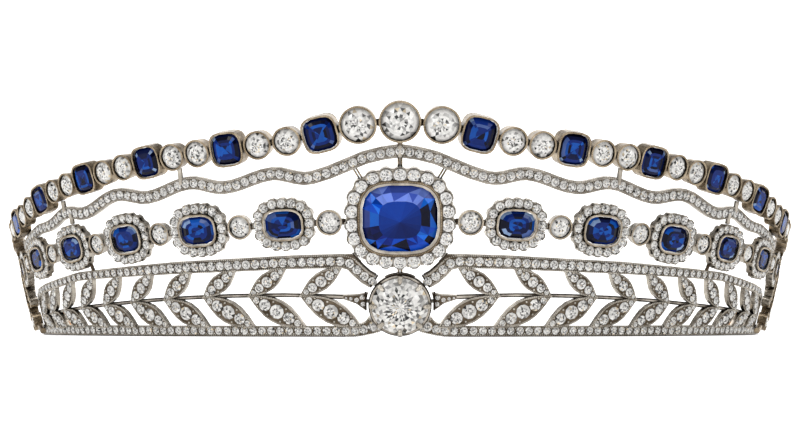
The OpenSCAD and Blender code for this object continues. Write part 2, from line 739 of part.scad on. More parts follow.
// Stones
module crest_stone(side, k) {
    p = crest_place(k);
    girdle = crest_back + crest_depth_at(k) - girdle_drop(crest_r(k));
    on_wall(side, p[0], p[1], girdle, crest_slope(k)) {
        r = crest_r(k) - rim - stone_fit;
        if (is_crest_sapphire(k))
            sapphire(r, r, 8, collet_power);
        else
            round_stone(r, k < 2 ? 16 : 10);
    }
}
module cluster_gem(side, k) {
    p = cluster_place(k);
    on_wall(side, p[0], p[1], cluster_back + cluster_depth - gem_drop, cluster_slope(k))
        sapphire(gem_a(k) - stone_fit, gem_b(k) - stone_fit, k == 0 ? bezel_points : 8, gem_power);
}
module single_stone(side, k) {
    p = cluster_place(k);
    r = cluster_half_width(k);
    on_wall(side, p[0], p[1], cluster_back + single_depth - girdle_drop(r), 0)
        round_stone(r - rim - stone_fit, 10);
}
module halo(side, k) {
    p = cluster_place(k);
    on_wall(side, p[0], p[1], cluster_back + cluster_depth - gem_drop, cluster_slope(k))
        for (t = halo_angles(k))
            translate(concat(oval(halo_a(k), halo_b(k), t), [0]))
                round_stone(halo_stone_r(k), 8);
}
module halos(side)
    for (k = [2, 4, 6])
        halo(side, k);
module spacers(side)
    for (k = [1:cluster_last])
        if (!is_cluster(k))
            single_stone(side, k);
module crest_diamonds(side)
    for (k = [3:crest_last])
        if (!is_crest_sapphire(k))
            crest_stone(side, k);

base_frame();
end_loop(left);  // end_loop_left
end_loop(right);  // end_loop_right
wave_ribbon();
cluster_row();
crest_row();
on_wall(right, 0, claw_rise, girdle_w) round_stone(stone_r, 16);  // front_diamond
cluster_gem(right, 0);  // centre_sapphire
halo(right, 0);  // centre_halo
halos(left);  // halo_left
halos(right);  // halo_right
spacers(left);  // spacers_left
spacers(right);  // spacers_right
crest_stone(right, 0);  // crest_top
crest_stone(left, 1);  // crest_second_left
crest_stone(right, 1);  // crest_second_right
crest_diamonds(left);  // crest_diamonds_left
crest_diamonds(right);  // crest_diamonds_right
for (k = [1:6]) {
    cluster_gem(left, 2 * k);
    cluster_gem(right, 2 * k);
}
for (k = [1:8]) {
    crest_stone(left, 3 * k - 1);
    crest_stone(right, 3 * k - 1);
}
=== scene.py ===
import math

import bpy
import numpy as np
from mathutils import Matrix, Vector


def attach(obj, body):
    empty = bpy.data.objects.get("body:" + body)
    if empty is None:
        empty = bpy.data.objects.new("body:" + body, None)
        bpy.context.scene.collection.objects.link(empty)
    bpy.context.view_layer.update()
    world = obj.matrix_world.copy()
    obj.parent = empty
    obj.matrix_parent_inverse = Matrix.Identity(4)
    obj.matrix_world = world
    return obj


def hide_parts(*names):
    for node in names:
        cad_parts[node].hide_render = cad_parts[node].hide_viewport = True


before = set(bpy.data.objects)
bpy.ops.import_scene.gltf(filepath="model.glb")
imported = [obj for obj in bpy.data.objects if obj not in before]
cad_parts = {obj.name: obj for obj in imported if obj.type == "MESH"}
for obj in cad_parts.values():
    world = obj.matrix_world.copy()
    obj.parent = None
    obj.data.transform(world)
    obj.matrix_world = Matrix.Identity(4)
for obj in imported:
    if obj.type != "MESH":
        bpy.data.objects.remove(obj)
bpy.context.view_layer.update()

MM = 0.001
LEFT, RIGHT = -1, 1
SIDES = (LEFT, RIGHT)

# The wall and its rows, in millimetres, as in the part's source
FRONT_R, SIDE_R = 88.5, 52.5
HALF_ANGLE, FLARE = math.radians(54), math.radians(12.5)
BAND_HALF = 127.5
CLUSTER_RISE, CLUSTER_REACH, CLUSTER_GAP, CLUSTER_DEPTH = 25.6, 111, 0.25, 2.0
CREST_RISE, CREST_REACH, CREST_GAP, CREST_DEPTH, CREST_THINNING = 46.3, 118.5, 0.25, 3.4, 0.016
RIBBON_REACH, RIBBON_WIDTH = 101.5, 2.8
RAIL_RISE, RAIL_WIDTH, STEM_RISE, STEM_WIDTH = 16.3, 3.0, 8.95, 0.8
STRIP, LOOP_LENGTH, RIM, SEAT_GAP = 2.4, 7.0, 0.4, 0.06
CREST_BACK, CLUSTER_BACK, SINGLE_DEPTH = 0.08, 0.0, 1.8
PLATE_FRONT, PLATE_BACK, RIBBON_FRONT = 0.3, -0.6, 0.5
CLAW_RISE, CLAW_RING_R, RING_BACK, RING_DEPTH = 7.05, 6.4, -1.5, 3.0
FIRST_LEAF, LEAF_PITCH, LEAF_TAPER, LEAF_PAIRS, LEAF_FULL, LEAF_SWELL = 20.6, 11.197, 0.055, 10, 0.34, 0.035
UPPER_LEAN, LOWER_LEAN, WELD = 0.8, 1.12, 0.3
CREST_LAST, CREST_TAPER, CLUSTER_LAST, LAST_CLUSTER, TURN_ROOM = 26, 0.0135, 15, 12, 0.2
CURL_START, CURL_LENGTH = 11, 8
# Lines of the rows, as shares of their reach and rise
CREST_SHARES = np.array([
    [0, 1], [0.066, 0.985], [0.127, 0.94], [0.18, 0.912], [0.27, 0.882], [0.37, 0.852], [0.48, 0.807],
    [0.58, 0.757], [0.66, 0.708], [0.73, 0.65], [0.8, 0.585], [0.87, 0.535], [0.94, 0.505],
    [0.985, 0.46], [1, 0.41], [0.993, 0.35], [0.977, 0.28], [0.95, 0.2], [0.92, 0.13], [0.886, 0.075]])
CLUSTER_SHARES = np.array([
    [0, 1], [0.125, 0.968], [0.285, 0.935], [0.45, 0.885], [0.53, 0.848], [0.6, 0.812], [0.68, 0.78],
    [0.75, 0.738], [0.82, 0.695], [0.88, 0.66], [0.94, 0.62], [0.996, 0.523], [0.975, 0.387], [0.949, 0.309]])
# Along the ribbon: shares of its reach, and of the height that is free above the clusters
RIBBON_SHARES = np.array([
    [0, 0.7], [0.167, 0.2], [0.245, 0.7], [0.347, 0.3], [0.423, 0.71], [0.522, 0.3],
    [0.606, 0.84], [0.706, 0.12], [0.772, 0.72], [0.845, 0.07], [0.895, 0.5], [1, -0.38]])
RIBBON_NARROWING = ([0, 0.7, 0.85, 1], [1, 1, 0.86, 0.64])
# Rows of s, v and width
RAIL_ROWS = np.array([
    [0.05, 0.735, 1], [0.0625, 0.785, 1], [0.076, 0.872, 1], [0.0885, 0.965, 1], [0.106, 1, 1],
    [0.2, 0.985, 0.97], [0.31, 0.95, 0.93], [0.43, 0.92, 0.88], [0.55, 0.875, 0.76],
    [0.63, 0.845, 0.68], [0.7, 0.815, 0.64], [0.77, 0.74, 0.62], [0.84, 0.67, 0.6], [0.89, 0.61, 0.58],
    [0.914, 0.55, 0.5], [0.916, 0.44, 0.4], [0.91, 0.28, 0.4], [0.9, 0.08, 0.4]
]) * [CLUSTER_REACH, RAIL_RISE, RAIL_WIDTH]
STEM_ROWS = np.array([
    [0.0625, 0.86, 4.8], [0.08, 0.91, 2.6], [0.105, 0.955, 1.2], [0.16, 0.985, 1], [0.22, 1, 1],
    [0.32, 0.985, 1], [0.42, 0.94, 1], [0.52, 0.87, 1], [0.62, 0.78, 1], [0.71, 0.7, 1], [0.79, 0.62, 0.9],
    [0.86, 0.53, 0.9], [0.905, 0.45, 0.9]]) * [CLUSTER_REACH, STEM_RISE, STEM_WIDTH]
# Outline of the strip's curl, as shares of its length and of the strip's height
CURL_SHARES = np.array([
    [-0.05, 0], [-0.05, 1], [0.3, 1.08], [0.45, 1.3], [0.56, 1.76], [0.66, 1.47], [0.82, 1.02],
    [0.98, 0.72], [0.82, 0.46], [0.62, 0.27], [0.4, 0.12], [0.18, 0.03]])
# Half widths along the cluster row from the middle, clusters and single stones by turns
CLUSTER_SIZE = np.array([
    1.72, 0.405, 1, 0.39, 1.02, 0.37, 0.97, 0.35, 0.9, 0.33, 0.82, 0.31, 0.68, 0.24, 0.21, 0.19])
MIDDLE_ASPECT, CLUSTER_ASPECT = 0.93, 0.84
# Sizes of the crest's collets: the first two, the sapphires and the other diamonds
FIRST_SHARES, SAPPHIRE_SHARE, DIAMOND_SHARE = (1, 0.9), 0.88, 0.71
FIRST_SAPPHIRE, LAST_SAPPHIRE, SAPPHIRE_EVERY = 2, 23, 3
# Slopes are taken over this length to both sides
SLOPE_REACH = 1.2
FRONT_ARC = FRONT_R * HALF_ANGLE
SIDE_CENTRE = (FRONT_R - SIDE_R) * np.array([math.sin(HALF_ANGLE), -math.cos(HALF_ANGLE)]) + [0, FRONT_R]


def turn(s):
    s = np.asarray(s, float)
    return np.where(s < FRONT_ARC, s / FRONT_R, HALF_ANGLE + (s - FRONT_ARC) / SIDE_R)


def from_front(side, s, v, w):
    """Point at s along the band, v up the wall and w out of it"""
    s, v, w = np.broadcast_arrays(np.asarray(s, float), v, w)
    t = turn(s)
    front = s < FRONT_ARC
    x = np.where(front, FRONT_R * np.sin(t), SIDE_CENTRE[0] + SIDE_R * np.sin(t))
    y = np.where(front, FRONT_R * (1 - np.cos(t)), SIDE_CENTRE[1] - SIDE_R * np.cos(t))
    out = v * math.sin(FLARE) + w * math.cos(FLARE)
    return np.stack([side * (x + np.sin(t) * out), y - np.cos(t) * out,
                     v * math.cos(FLARE) - w * math.sin(FLARE)], -1)


def stretch(s, v):
    return 1 + v * math.sin(FLARE) / (FRONT_R if s < FRONT_ARC else SIDE_R)


def running(values):
    return np.concatenate([[0], np.cumsum(values)])


def distances(points):
    """Distance of each point from the first, along their line"""
    return running(np.linalg.norm(np.diff(points, axis=0), axis=1))


def lengths_on(line, w):
    return distances(from_front(RIGHT, line[:, 0], line[:, 1], w))


def at_length(keys, line, d):
    return np.array([np.interp(d, keys, line[:, 0]), np.interp(d, keys, line[:, 1])])


def slope_at(keys, line, d):
    a, b = at_length(keys, line, d - SLOPE_REACH), at_length(keys, line, d + SLOPE_REACH)
    return math.atan2(b[1] - a[1], (b[0] - a[0]) * stretch(a[0], a[1]))


crest_line = CREST_SHARES * [CREST_REACH, CREST_RISE]
crest_keys = lengths_on(crest_line, CREST_DEPTH / 2)
cluster_line = CLUSTER_SHARES * [CLUSTER_REACH, CLUSTER_RISE]
cluster_keys = lengths_on(cluster_line, 1)


def is_crest_sapphire(k):
    return FIRST_SAPPHIRE <= k <= LAST_SAPPHIRE and (k - FIRST_SAPPHIRE) % SAPPHIRE_EVERY == 0


def sapphire_share(k):
    return FIRST_SHARES[k] if k < 2 else SAPPHIRE_SHARE * (1 - CREST_TAPER * (k - 2))


def crest_share(k):
    if k < 2 or is_crest_sapphire(k):
        return sapphire_share(k)
    return DIAMOND_SHARE * (1 - CREST_TAPER * (k - 2))


crest_spans = np.array([crest_share(k - 1) + crest_share(k) for k in range(1, CREST_LAST + 1)])
crest_unit = (crest_keys[-1] - CREST_LAST * CREST_GAP) / crest_spans.sum()
CREST_R = [crest_unit * crest_share(k) for k in range(CREST_LAST + 1)]
CREST_TOP = [CREST_BACK + CREST_DEPTH * (1 - CREST_THINNING * k) for k in range(CREST_LAST + 1)]
crest_at = running(crest_spans * crest_unit + CREST_GAP)
CREST_PLACE = [at_length(crest_keys, crest_line, d) for d in crest_at]
CREST_SLOPE = [0] + [slope_at(crest_keys, crest_line, d) for d in crest_at[1:]]

cluster_spans = CLUSTER_SIZE[:-1] + CLUSTER_SIZE[1:]
cluster_spans[LAST_CLUSTER] += TURN_ROOM
cluster_unit = (cluster_keys[-1] - CLUSTER_LAST * CLUSTER_GAP) / cluster_spans.sum()
cluster_at = running(cluster_spans * cluster_unit + CLUSTER_GAP)
CLUSTER_PLACE = [at_length(cluster_keys, cluster_line, d) for d in cluster_at]
CLUSTER_SLOPE = [0] + [slope_at(cluster_keys, cluster_line, d) for d in cluster_at[1:]]
HALF_W = CLUSTER_SIZE * cluster_unit
HALF_H = HALF_W * np.where(np.arange(CLUSTER_LAST + 1) == 0, MIDDLE_ASPECT, CLUSTER_ASPECT)
CLUSTERS = range(0, LAST_CLUSTER + 1, 2)
SINGLES = [k for k in range(CLUSTER_LAST + 1) if k not in CLUSTERS]

front_y = -((CREST_RISE + crest_unit) * math.sin(FLARE) + (CREST_BACK + CREST_DEPTH) * math.cos(FLARE))
back_y = (from_front(RIGHT, BAND_HALF, 0, 0)[1]
          + (LOOP_LENGTH + SEAT_GAP) * math.sin(float(turn(BAND_HALF))))
MIDDLE = np.array([0, (front_y + back_y) / 2, 0])


def wall(side, s, v, w):
    return from_front(side, s, v, w) - MIDDLE


def seat(side, s, v, w, spin=0.0):
    """Origin and axes of a flat place on the wall: along the band, up the wall and out of it"""
    t = side * float(turn(s))
    c, q = math.cos(t), math.sin(t)
    along = side * np.array([c, q, 0])
    up = np.array([math.sin(FLARE) * q, -math.sin(FLARE) * c, math.cos(FLARE)])
    out = np.array([math.cos(FLARE) * q, -math.cos(FLARE) * c, -math.sin(FLARE)])
    ex = math.cos(spin) * along + math.sin(spin) * up
    ey = -math.sin(spin) * along + math.cos(spin) * up
    return wall(side, s, v, w), np.stack([ex, ey, out], 1)


AS_IS = (np.zeros(3), np.eye(3))


class Heap:
    """Triangles of many small things, joined to one mesh"""

    def __init__(self):
        self.v, self.f, self.c, self.n = [], [], [], 0

    def add(self, shape, place, size=1.0):
        verts, tris, painted_shades = shape
        origin, axes = place
        if np.linalg.det(axes) < 0:
            tris = tris[:, ::-1]
        self.v.append(origin + (verts * size) @ axes.T)
        self.f.append(tris + self.n)
        self.c.append(painted_shades)
        self.n += len(verts)

    def many(self, shape, origins, size):
        """Copies at several origins, not turned"""
        verts, tris, _ = shape
        count = len(origins)
        size = np.broadcast_to(np.asarray(size, float).reshape(-1, 1, 1), (count, 1, 1))
        self.v.append((origins[:, None] + verts[None] * size).reshape(-1, 3))
        steps = np.arange(count)[:, None, None] * len(verts) + self.n
        self.f.append((tris[None] + steps).reshape(-1, 3))
        self.c.append(np.ones((count * len(tris), 3)))
        self.n += count * len(verts)

    def piece(self, name, material, slot, smooth=False, replaces=()):
        verts = np.concatenate(self.v) * MM
        tris = np.concatenate(self.f).astype(np.int32)
        me = bpy.data.meshes.new(name)
        me.vertices.add(len(verts))
        me.vertices.foreach_set("co", verts.astype(np.float32).ravel())
        me.loops.add(tris.size)
        me.loops.foreach_set("vertex_index", tris.ravel())
        me.polygons.add(len(tris))
        me.polygons.foreach_set("loop_start", np.arange(0, tris.size, 3, dtype=np.int32))
        me.polygons.foreach_set("use_smooth", np.full(len(tris), smooth))
        me.update(calc_edges=True)
        painted_facet_light = me.attributes.new("painted_facet_light", "FLOAT_COLOR", "CORNER")
        rgba = np.ones((tris.size, 4), np.float32)
        rgba[:, :3] = np.repeat(np.concatenate(self.c), 3, axis=0)
        painted_facet_light.data.foreach_set("color", rgba.ravel())
        me.materials.append(material)
        ob = bpy.data.objects.new(name, me)
        bpy.context.scene.collection.objects.link(ob)
        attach(ob, "root")
        if replaces:
            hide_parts(*replaces)
        return ob


# Materials
def new_material(name):
    m = bpy.data.materials.new(name)
    m.use_nodes = True
    nodes, links = m.node_tree.nodes, m.node_tree.links
    return m, nodes, links, nodes["Principled BSDF"]


def noise(nodes, links, scale, detail=3.0):
    coords = nodes.new("ShaderNodeTexCoord")
    tex = nodes.new("ShaderNodeTexNoise")
    tex.inputs["Scale"].default_value = scale
    tex.inputs["Detail"].default_value = detail
    links.new(coords.outputs["Object"], tex.inputs["Vector"])
    return tex.outputs["Fac"]


def ramp(nodes, links, value, stops):
    node = nodes.new("ShaderNodeValToRGB")
    links.new(value, node.inputs["Fac"])
    while len(node.color_ramp.elements) < len(stops):
        node.color_ramp.elements.new(0.5)
    for element, (at, colour) in zip(node.color_ramp.elements, stops):
        element.position = at
        element.color = (*colour, 1)
    return node.outputs["Color"]


def mixed(nodes, links, kind, factor, a, b):
    node = nodes.new("ShaderNodeMix")
    node.data_type = "RGBA"
    node.blend_type = kind
    if isinstance(factor, float):
        node.inputs["Factor"].default_value = factor
    else:
        links.new(factor, node.inputs["Factor"])
    for socket, value in (("A", a), ("B", b)):
        target = [i for i in node.inputs if i.name == socket and i.type == "RGBA"][0]
        if isinstance(value, tuple):
            target.default_value = (*value, 1)
        else:
            links.new(value, target)
    return [o for o in node.outputs if o.type == "RGBA"][0]


def metal(name, bright, dull, hollow_shade, roughness, reach=0.0009, metallic=1.0):
    """Old metal: two tones, with a painted shade colour where the surface is enclosed within reach"""
    m, nodes, links, bsdf = new_material(name)
    tone = ramp(nodes, links, noise(nodes, links, 420), [(0.35, dull), (0.65, bright)])
    # Painted shade: the colour goes dark where ambient occlusion finds the surface enclosed
    hollow = nodes.new("ShaderNodeAmbientOcclusion")
    hollow.samples = 6
    hollow.inputs["Distance"].default_value = reach
    open_share = ramp(nodes, links, hollow.outputs["AO"], [(0.36, (0, 0, 0)), (0.88, (1, 1, 1))])
    links.new(mixed(nodes, links, "MIX", open_share, hollow_shade, tone), bsdf.inputs["Base Color"])
    bsdf.inputs["Metallic"].default_value = metallic
    rough = nodes.new("ShaderNodeMapRange")
    rough.inputs["To Min"].default_value = roughness * 0.75
    rough.inputs["To Max"].default_value = roughness * 1.3
    links.new(noise(nodes, links, 1500), rough.inputs["Value"])
    links.new(rough.outputs["Result"], bsdf.inputs["Roughness"])
    bump = nodes.new("ShaderNodeBump")
    bump.inputs["Strength"].default_value = 0.45
    bump.inputs["Distance"].default_value = 0.00004
    links.new(noise(nodes, links, 2600, 5.0), bump.inputs["Height"])
    links.new(bump.outputs["Normal"], bsdf.inputs["Normal"])
    return m


def gem(name, ior, roughness, gloss, tint_low, tint_high):
    """Facets carry painted light and shade in their colour; the surface is glossy"""
    m, nodes, links, bsdf = new_material(name)
    painted_facet_light = nodes.new("ShaderNodeAttribute")
    painted_facet_light.attribute_name = "painted_facet_light"
    tint = ramp(nodes, links, noise(nodes, links, 900), [(0.3, tint_low), (0.7, tint_high)])
    links.new(mixed(nodes, links, "MULTIPLY", 1.0, painted_facet_light.outputs["Color"], tint), bsdf.inputs["Base Color"])
    bsdf.inputs["IOR"].default_value = ior
    bsdf.inputs["Roughness"].default_value = roughness
    bsdf.inputs["Specular IOR Level"].default_value = gloss
    return m


# The third colour of each metal is the painted shade of its hollows
SILVER = metal("aged_silver", (0.52, 0.475, 0.41), (0.27, 0.24, 0.2), (0.02, 0.013, 0.008), 0.26)
# Champagne metal of the crest row and the posts, made darker than its own tone as painted shade on the
# collets' sides
WARM = metal("champagne_with_painted_shade", (0.42, 0.34, 0.24), (0.16, 0.12, 0.078), (0.018, 0.011, 0.006), 0.26)
GOLD = metal("loop_gold", (0.8, 0.5, 0.25), (0.6, 0.34, 0.15), (0.07, 0.03, 0.015), 0.2, 0.0015)
# Millgrain, grains and claws in lighter copies of the silver and the champagne metal: painted highlight
MILL = metal("millgrain_painted_highlight", (0.74, 0.69, 0.6), (0.4, 0.355, 0.29), (0.03, 0.019, 0.01),
             0.22, 0.0004, 0.5)
WARM_MILL = metal("champagne_millgrain_painted_highlight", (0.74, 0.61, 0.43), (0.42, 0.32, 0.2), (0.04, 0.022, 0.01),
                  0.22, 0.0004, 0.5)
# Dark sheets of painted shade in the recesses under small stones
RECESS_SHADE = metal("recess_painted_shade", (0.15, 0.118, 0.084), (0.06, 0.045, 0.03), (0.012, 0.008, 0.005), 0.4, 0.0006)
# Brown-dark painted shade for the groove, the links between collets and the dark post
GROOVE_SHADE = metal("groove_painted_shade", (0.13, 0.095, 0.06), (0.06, 0.042, 0.028), (0.02, 0.012, 0.008), 0.45)
# Near-black painted shadow for plates at edges, the stem's edges and the line round the front ring
EDGE_SHADOW = metal("edge_painted_shadow", (0.07, 0.05, 0.035), (0.03, 0.022, 0.016), (0.01, 0.008, 0.006), 0.4)
# Stones: reflections and shade of their facets are painted into the colour
DIAMOND = gem("diamond_painted_facets", 1.7, 0.08, 0.3, (0.8, 0.78, 0.75), (0.97, 0.955, 0.925))
SAPPHIRE = gem("sapphire_painted_facets", 1.6, 0.1, 0.1, (0.88, 0.9, 0.96), (1.0, 1.0, 1.0))

# Shapes
GOLDEN = (1 + math.sqrt(5)) / 2
ball_points = np.array([[-1, GOLDEN, 0], [1, GOLDEN, 0], [-1, -GOLDEN, 0], [1, -GOLDEN, 0],
                        [0, -1, GOLDEN], [0, 1, GOLDEN], [0, -1, -GOLDEN], [0, 1, -GOLDEN],
                        [GOLDEN, 0, -1], [GOLDEN, 0, 1], [-GOLDEN, 0, -1], [-GOLDEN, 0, 1]], float)
ball_tris = np.array([[0, 11, 5], [0, 5, 1], [0, 1, 7], [0, 7, 10], [0, 10, 11], [1, 5, 9], [5, 11, 4],
                      [11, 10, 2], [10, 7, 6], [7, 1, 8], [3, 9, 4], [3, 4, 2], [3, 2, 6], [3, 6, 8],
                      [3, 8, 9], [4, 9, 5], [2, 4, 11], [6, 2, 10], [8, 6, 7], [9, 8, 1]])
BALL = (ball_points / np.linalg.norm(ball_points[0]), ball_tris, np.ones((20, 3)))


def circle(n, r=1.0, shift=0.0):
    a = 2 * np.pi * (np.arange(n) + shift) / n
    return np.stack([r * np.cos(a), r * np.sin(a)], 1)


def raised(xy, z):
    return np.column_stack([xy, np.full(len(xy), z)])


# Painted light of a clear stone's facets: greys for reflection and shade, and a warm tint as painted fire
PAINTED_GREYS = np.array([0.93, 0.8, 0.6, 0.34, 0.12, 0.03])
FIRE_TINT, FIRE_CHANCE = [1.0, 0.86, 0.64], 0.04


def painted_greys(rng, n, chances):
    """Painted light of n facets of a clear stone: greys of reflection and shade, a few of them warm as
    painted fire
    """
    g = rng.choice(PAINTED_GREYS, n, p=chances)[:, None] * rng.uniform(0.9, 1.06, (n, 1))
    fire = rng.random(n) < FIRE_CHANCE
    return np.clip(g * np.where(fire[:, None], FIRE_TINT, [1, 1, 1]), 0, 1)


# Rings of a clear stone from its middle outwards: radius, height, and the chances of the painted greys of
# reflection and shade between this ring and the next
CLEAR_RINGS = [
    (0.0, 0.3, [0.3, 0.3, 0.15, 0.15, 0.05, 0.05]),
    (0.24, 0.3, [0.3, 0.2, 0.12, 0.12, 0.13, 0.13]),
    (0.42, 0.3, [0.46, 0.24, 0.15, 0.1, 0.03, 0.02]),
    (0.57, 0.3, [0.3, 0.26, 0.16, 0.12, 0.09, 0.07]),
    (0.76, 0.18, [0.46, 0.26, 0.14, 0.08, 0.04, 0.02]),
    (1.0, 0.0, None),
]
SMALL_RINGS = [
    (0.0, 0.3, [0.32, 0.28, 0.16, 0.12, 0.09, 0.03]),
    (0.36, 0.3, [0.08, 0.16, 0.18, 0.26, 0.22, 0.1]),
    (0.6, 0.27, [0.32, 0.3, 0.18, 0.12, 0.06, 0.02]),
    (1.0, 0.0, None),
]
LARGE_RINGS = [
    (0.0, 0.3, [0.4, 0.25, 0.15, 0.12, 0.06, 0.02]),
    (0.16, 0.3, [0.22, 0.28, 0.22, 0.18, 0.06, 0.04]),
    (0.27, 0.3, [0.2, 0.14, 0.12, 0.16, 0.19, 0.19]),
    (0.38, 0.3, [0.3, 0.2, 0.14, 0.14, 0.12, 0.1]),
    (0.5, 0.3, [0.42, 0.24, 0.16, 0.1, 0.05, 0.03]),
    (0.63, 0.26, [0.38, 0.2, 0.16, 0.12, 0.08, 0.06]),
    (0.76, 0.18, [0.3, 0.22, 0.2, 0.16, 0.07, 0.05]),
    (0.88, 0.09, [0.2, 0.24, 0.26, 0.18, 0.07, 0.05]),
    (1.0, 0.0, None),
]
PAVILION_DEPTH = 0.78


def brilliant(rng, n=8, rings=CLEAR_RINGS):
    """Round stone of radius 1 with its girdle at height 0: rings of triangles, each turned by half a step"""
    verts, tris = [np.array([[0, 0, rings[0][1]]])], []
    count, last = 2 * n, len(rings) - 1
    for number, (r, z, _) in enumerate(rings[1:], 1):
        verts.append(raised(circle(count, r, 0.5 * (number % 2)), z))
    verts.append(np.array([[0, 0, -PAVILION_DEPTH]]))
    culet = 1 + last * count
    for k in range(count):
        tris.append((0, 1 + k, 1 + (k + 1) % count))
    for ring in range(last - 1):
        for k in range(count):
            a, b = 1 + ring * count + k, 1 + ring * count + (k + 1) % count
            early = (ring + 1) % 2
            c = 1 + (ring + 1) * count + (k + early) % count
            d = 1 + (ring + 1) * count + (k + early + 1) % count
            tris.append((a, c, b))
            tris.append((b, c, d))
    girdle = 1 + (last - 1) * count
    for k in range(count):
        tris.append((girdle + k, culet, girdle + (k + 1) % count))
    # Each facet gets its painted grey
    painted_shades = [painted_greys(rng, count, rings[0][2])]
    painted_shades += [painted_greys(rng, 2 * count, chances) for _, _, chances in rings[1:-1]]
    painted_shades.append(painted_greys(rng, count, rings[-2][2]))
    return np.concatenate(verts), np.array(tris), np.concatenate(painted_shades)


def small_stone(rng):
    return brilliant(rng, 5, SMALL_RINGS)


def oval(a, b, t, power):
    """Points at angles t of an oval with half axes a and b: an ellipse at power 2, squarer above it"""
    c, s = np.cos(t), np.sin(t)
    p = 2 / power
    return np.stack([a * np.sign(c) * abs(c) ** p, b * np.sign(s) * abs(s) ** p], -1)


def cushion(a, b, n, power):
    return oval(a, b, 2 * np.pi * (np.arange(n) + 0.5) / n, power)


# Facet colours of a sapphire: its own blue from navy to vivid, painted darker or brighter for shade and
# light; the lilac and the pale one are painted reflections
NAVY, DEEP, ROYAL, VIVID, LILAC_REFLECTION, PALE_REFLECTION = (
    (0.0008, 0.0012, 0.014), (0.001, 0.004, 0.05), (0.002, 0.014, 0.17), (0.004, 0.055, 0.42),
    (0.05, 0.08, 0.33), (0.18, 0.24, 0.58))
BLUES = np.array([NAVY, DEEP, ROYAL, VIVID, LILAC_REFLECTION, PALE_REFLECTION])
AZURE = (0.01, 0.13, 0.62)


def blues(rng, chances):
    return BLUES[rng.choice(6, p=chances)] * rng.uniform(0.8, 1.15)


def ringed(outline, layers, colour_of, tip_shift=(0.0, 0.0)):
    """Cut stone: rings of the outline scaled by share at heights, closed at its middle above and below"""
    n, last = len(outline), len(layers) - 1
    verts = [raised(outline * share, z) for share, z in layers]
    top = len(layers) * n
    verts += [np.array([[tip_shift[0], tip_shift[1], layers[-1][1]]]), np.array([[0, 0, layers[0][1]]])]
    tris, painted_shades = [], []
    for ring in range(last):
        for k in range(n):
            j = (k + 1) % n
            a, b, c, d = ring * n + k, ring * n + j, (ring + 1) * n + j, (ring + 1) * n + k
            pair = ((a, b, c), (a, c, d)) if (k + ring) % 2 else ((a, b, d), (b, c, d))
            for tri in pair:
                tris.append(tri)
                painted_shades.append(colour_of(ring, k))
    for k in range(n):
        tris.append((last * n + k, last * n + (k + 1) % n, top))
        painted_shades.append(colour_of(last, k))
        tris.append(((k + 1) % n, k, top + 1))
        painted_shades.append(NAVY)
    return np.concatenate(verts), np.array(tris), np.array(painted_shades)


STEP_LAYERS = [(0.12, -0.6), (0.56, -0.4), (1.0, 0.0), (0.84, 0.14), (0.64, 0.26), (0.46, 0.26), (0.28, 0.26)]
# Chances of the painted blues on each ring of a stepped stone, from below to the table's middle
STEP_CHANCES = [
    [0.5, 0.5, 0, 0, 0, 0], [0.5, 0.5, 0, 0, 0, 0], [0.3, 0.45, 0.2, 0.05, 0, 0],
    [0.4, 0.35, 0.15, 0.05, 0.05, 0], [0.05, 0.27, 0.45, 0.2, 0.03, 0], [0.05, 0.2, 0.45, 0.3, 0, 0],
    [0.05, 0.15, 0.4, 0.4, 0, 0]]
# Corner facets take more of the painted reflections
CORNER_CHANCES = [0.15, 0.2, 0.2, 0.1, 0.2, 0.15]
STEP_TINT = [1.2, 1.3, 0.85]


def stepped(rng, a, b, n, power):
    """Stone cut in steps: each side and corner of a step has one shade, its blue painted darker or brighter
    for light and shade
    """
    r = min(a, b)
    layers = [(share, z * r) for share, z in STEP_LAYERS]
    tone = {}

    def colour_of(ring, k):
        facet = round((k + 1) * 8 / n) % 8
        if (ring, facet) not in tone:
            corner = facet % 2 == 1 and ring in (2, 3)
            tone[ring, facet] = blues(rng, CORNER_CHANCES if corner else STEP_CHANCES[ring])
        return tone[ring, facet] * STEP_TINT * rng.uniform(0.93, 1.07)

    return ringed(cushion(a, b, n, power), layers, colour_of)


def middle_stone(rng, a, b):
    """The large cushion, with light and shade painted into its facets: pale painted reflections above, dark
    sides of painted shade, bright ones below, a table painted brighter towards one side
    """
    n, r = 20, min(a, b)
    layers = [(0.12, -0.6 * r), (0.56, -0.4 * r), (1.0, 0), (0.8, 0.14 * r), (0.56, 0.26 * r)]
    painted_side_shades = [blues(rng, [0.35, 0.2, 0.15, 0.25, 0.05, 0]) for _ in range(n)]

    def colour_of(ring, k):
        angle = 2 * math.pi * (k + 1) / n
        height = math.sin(angle)
        if ring < 2:
            return np.array(NAVY)
        # The table: painted light, brightest towards one side
        if ring == 4:
            glow = 1.0 - 0.75 * math.cos(angle + 1.2)
            tone = np.array(ROYAL) * (0.3 + 0.55 * glow) + np.array([0, 0.012, 0.05]) * glow
            return tone * rng.uniform(0.95, 1.06)
        # Facets at the top: painted reflections of the light above
        if height > 0.75:
            return blues(rng, [0, 0, 0, 0, 0.45, 0.55]) * [0.85, 0.98, 1.15] * (1.1 if ring == 3 else 0.72)
        # Sides: painted shade with a few painted bright patches
        if height > -0.6:
            return np.array(AZURE if rng.random() < 0.2 else painted_side_shades[k]) * rng.uniform(0.6, 1.3)
        return blues(rng, [0.05, 0.15, 0.35, 0.45, 0, 0])

    return ringed(cushion(a, b, n, 3), layers, colour_of, (0, -0.06 * b))


# Fine work along lines on the wall
def resampled(side, line, w, pitch):
    """(s, v) at even distances along a line of (s, v) on the wall"""
    keys = distances(from_front(side, line[:, 0], line[:, 1], w))
    d = np.linspace(0, keys[-1], max(2, round(keys[-1] / pitch)) + 1)
    return np.stack([np.interp(d, keys, line[:, c]) for c in (0, 1)], 1)


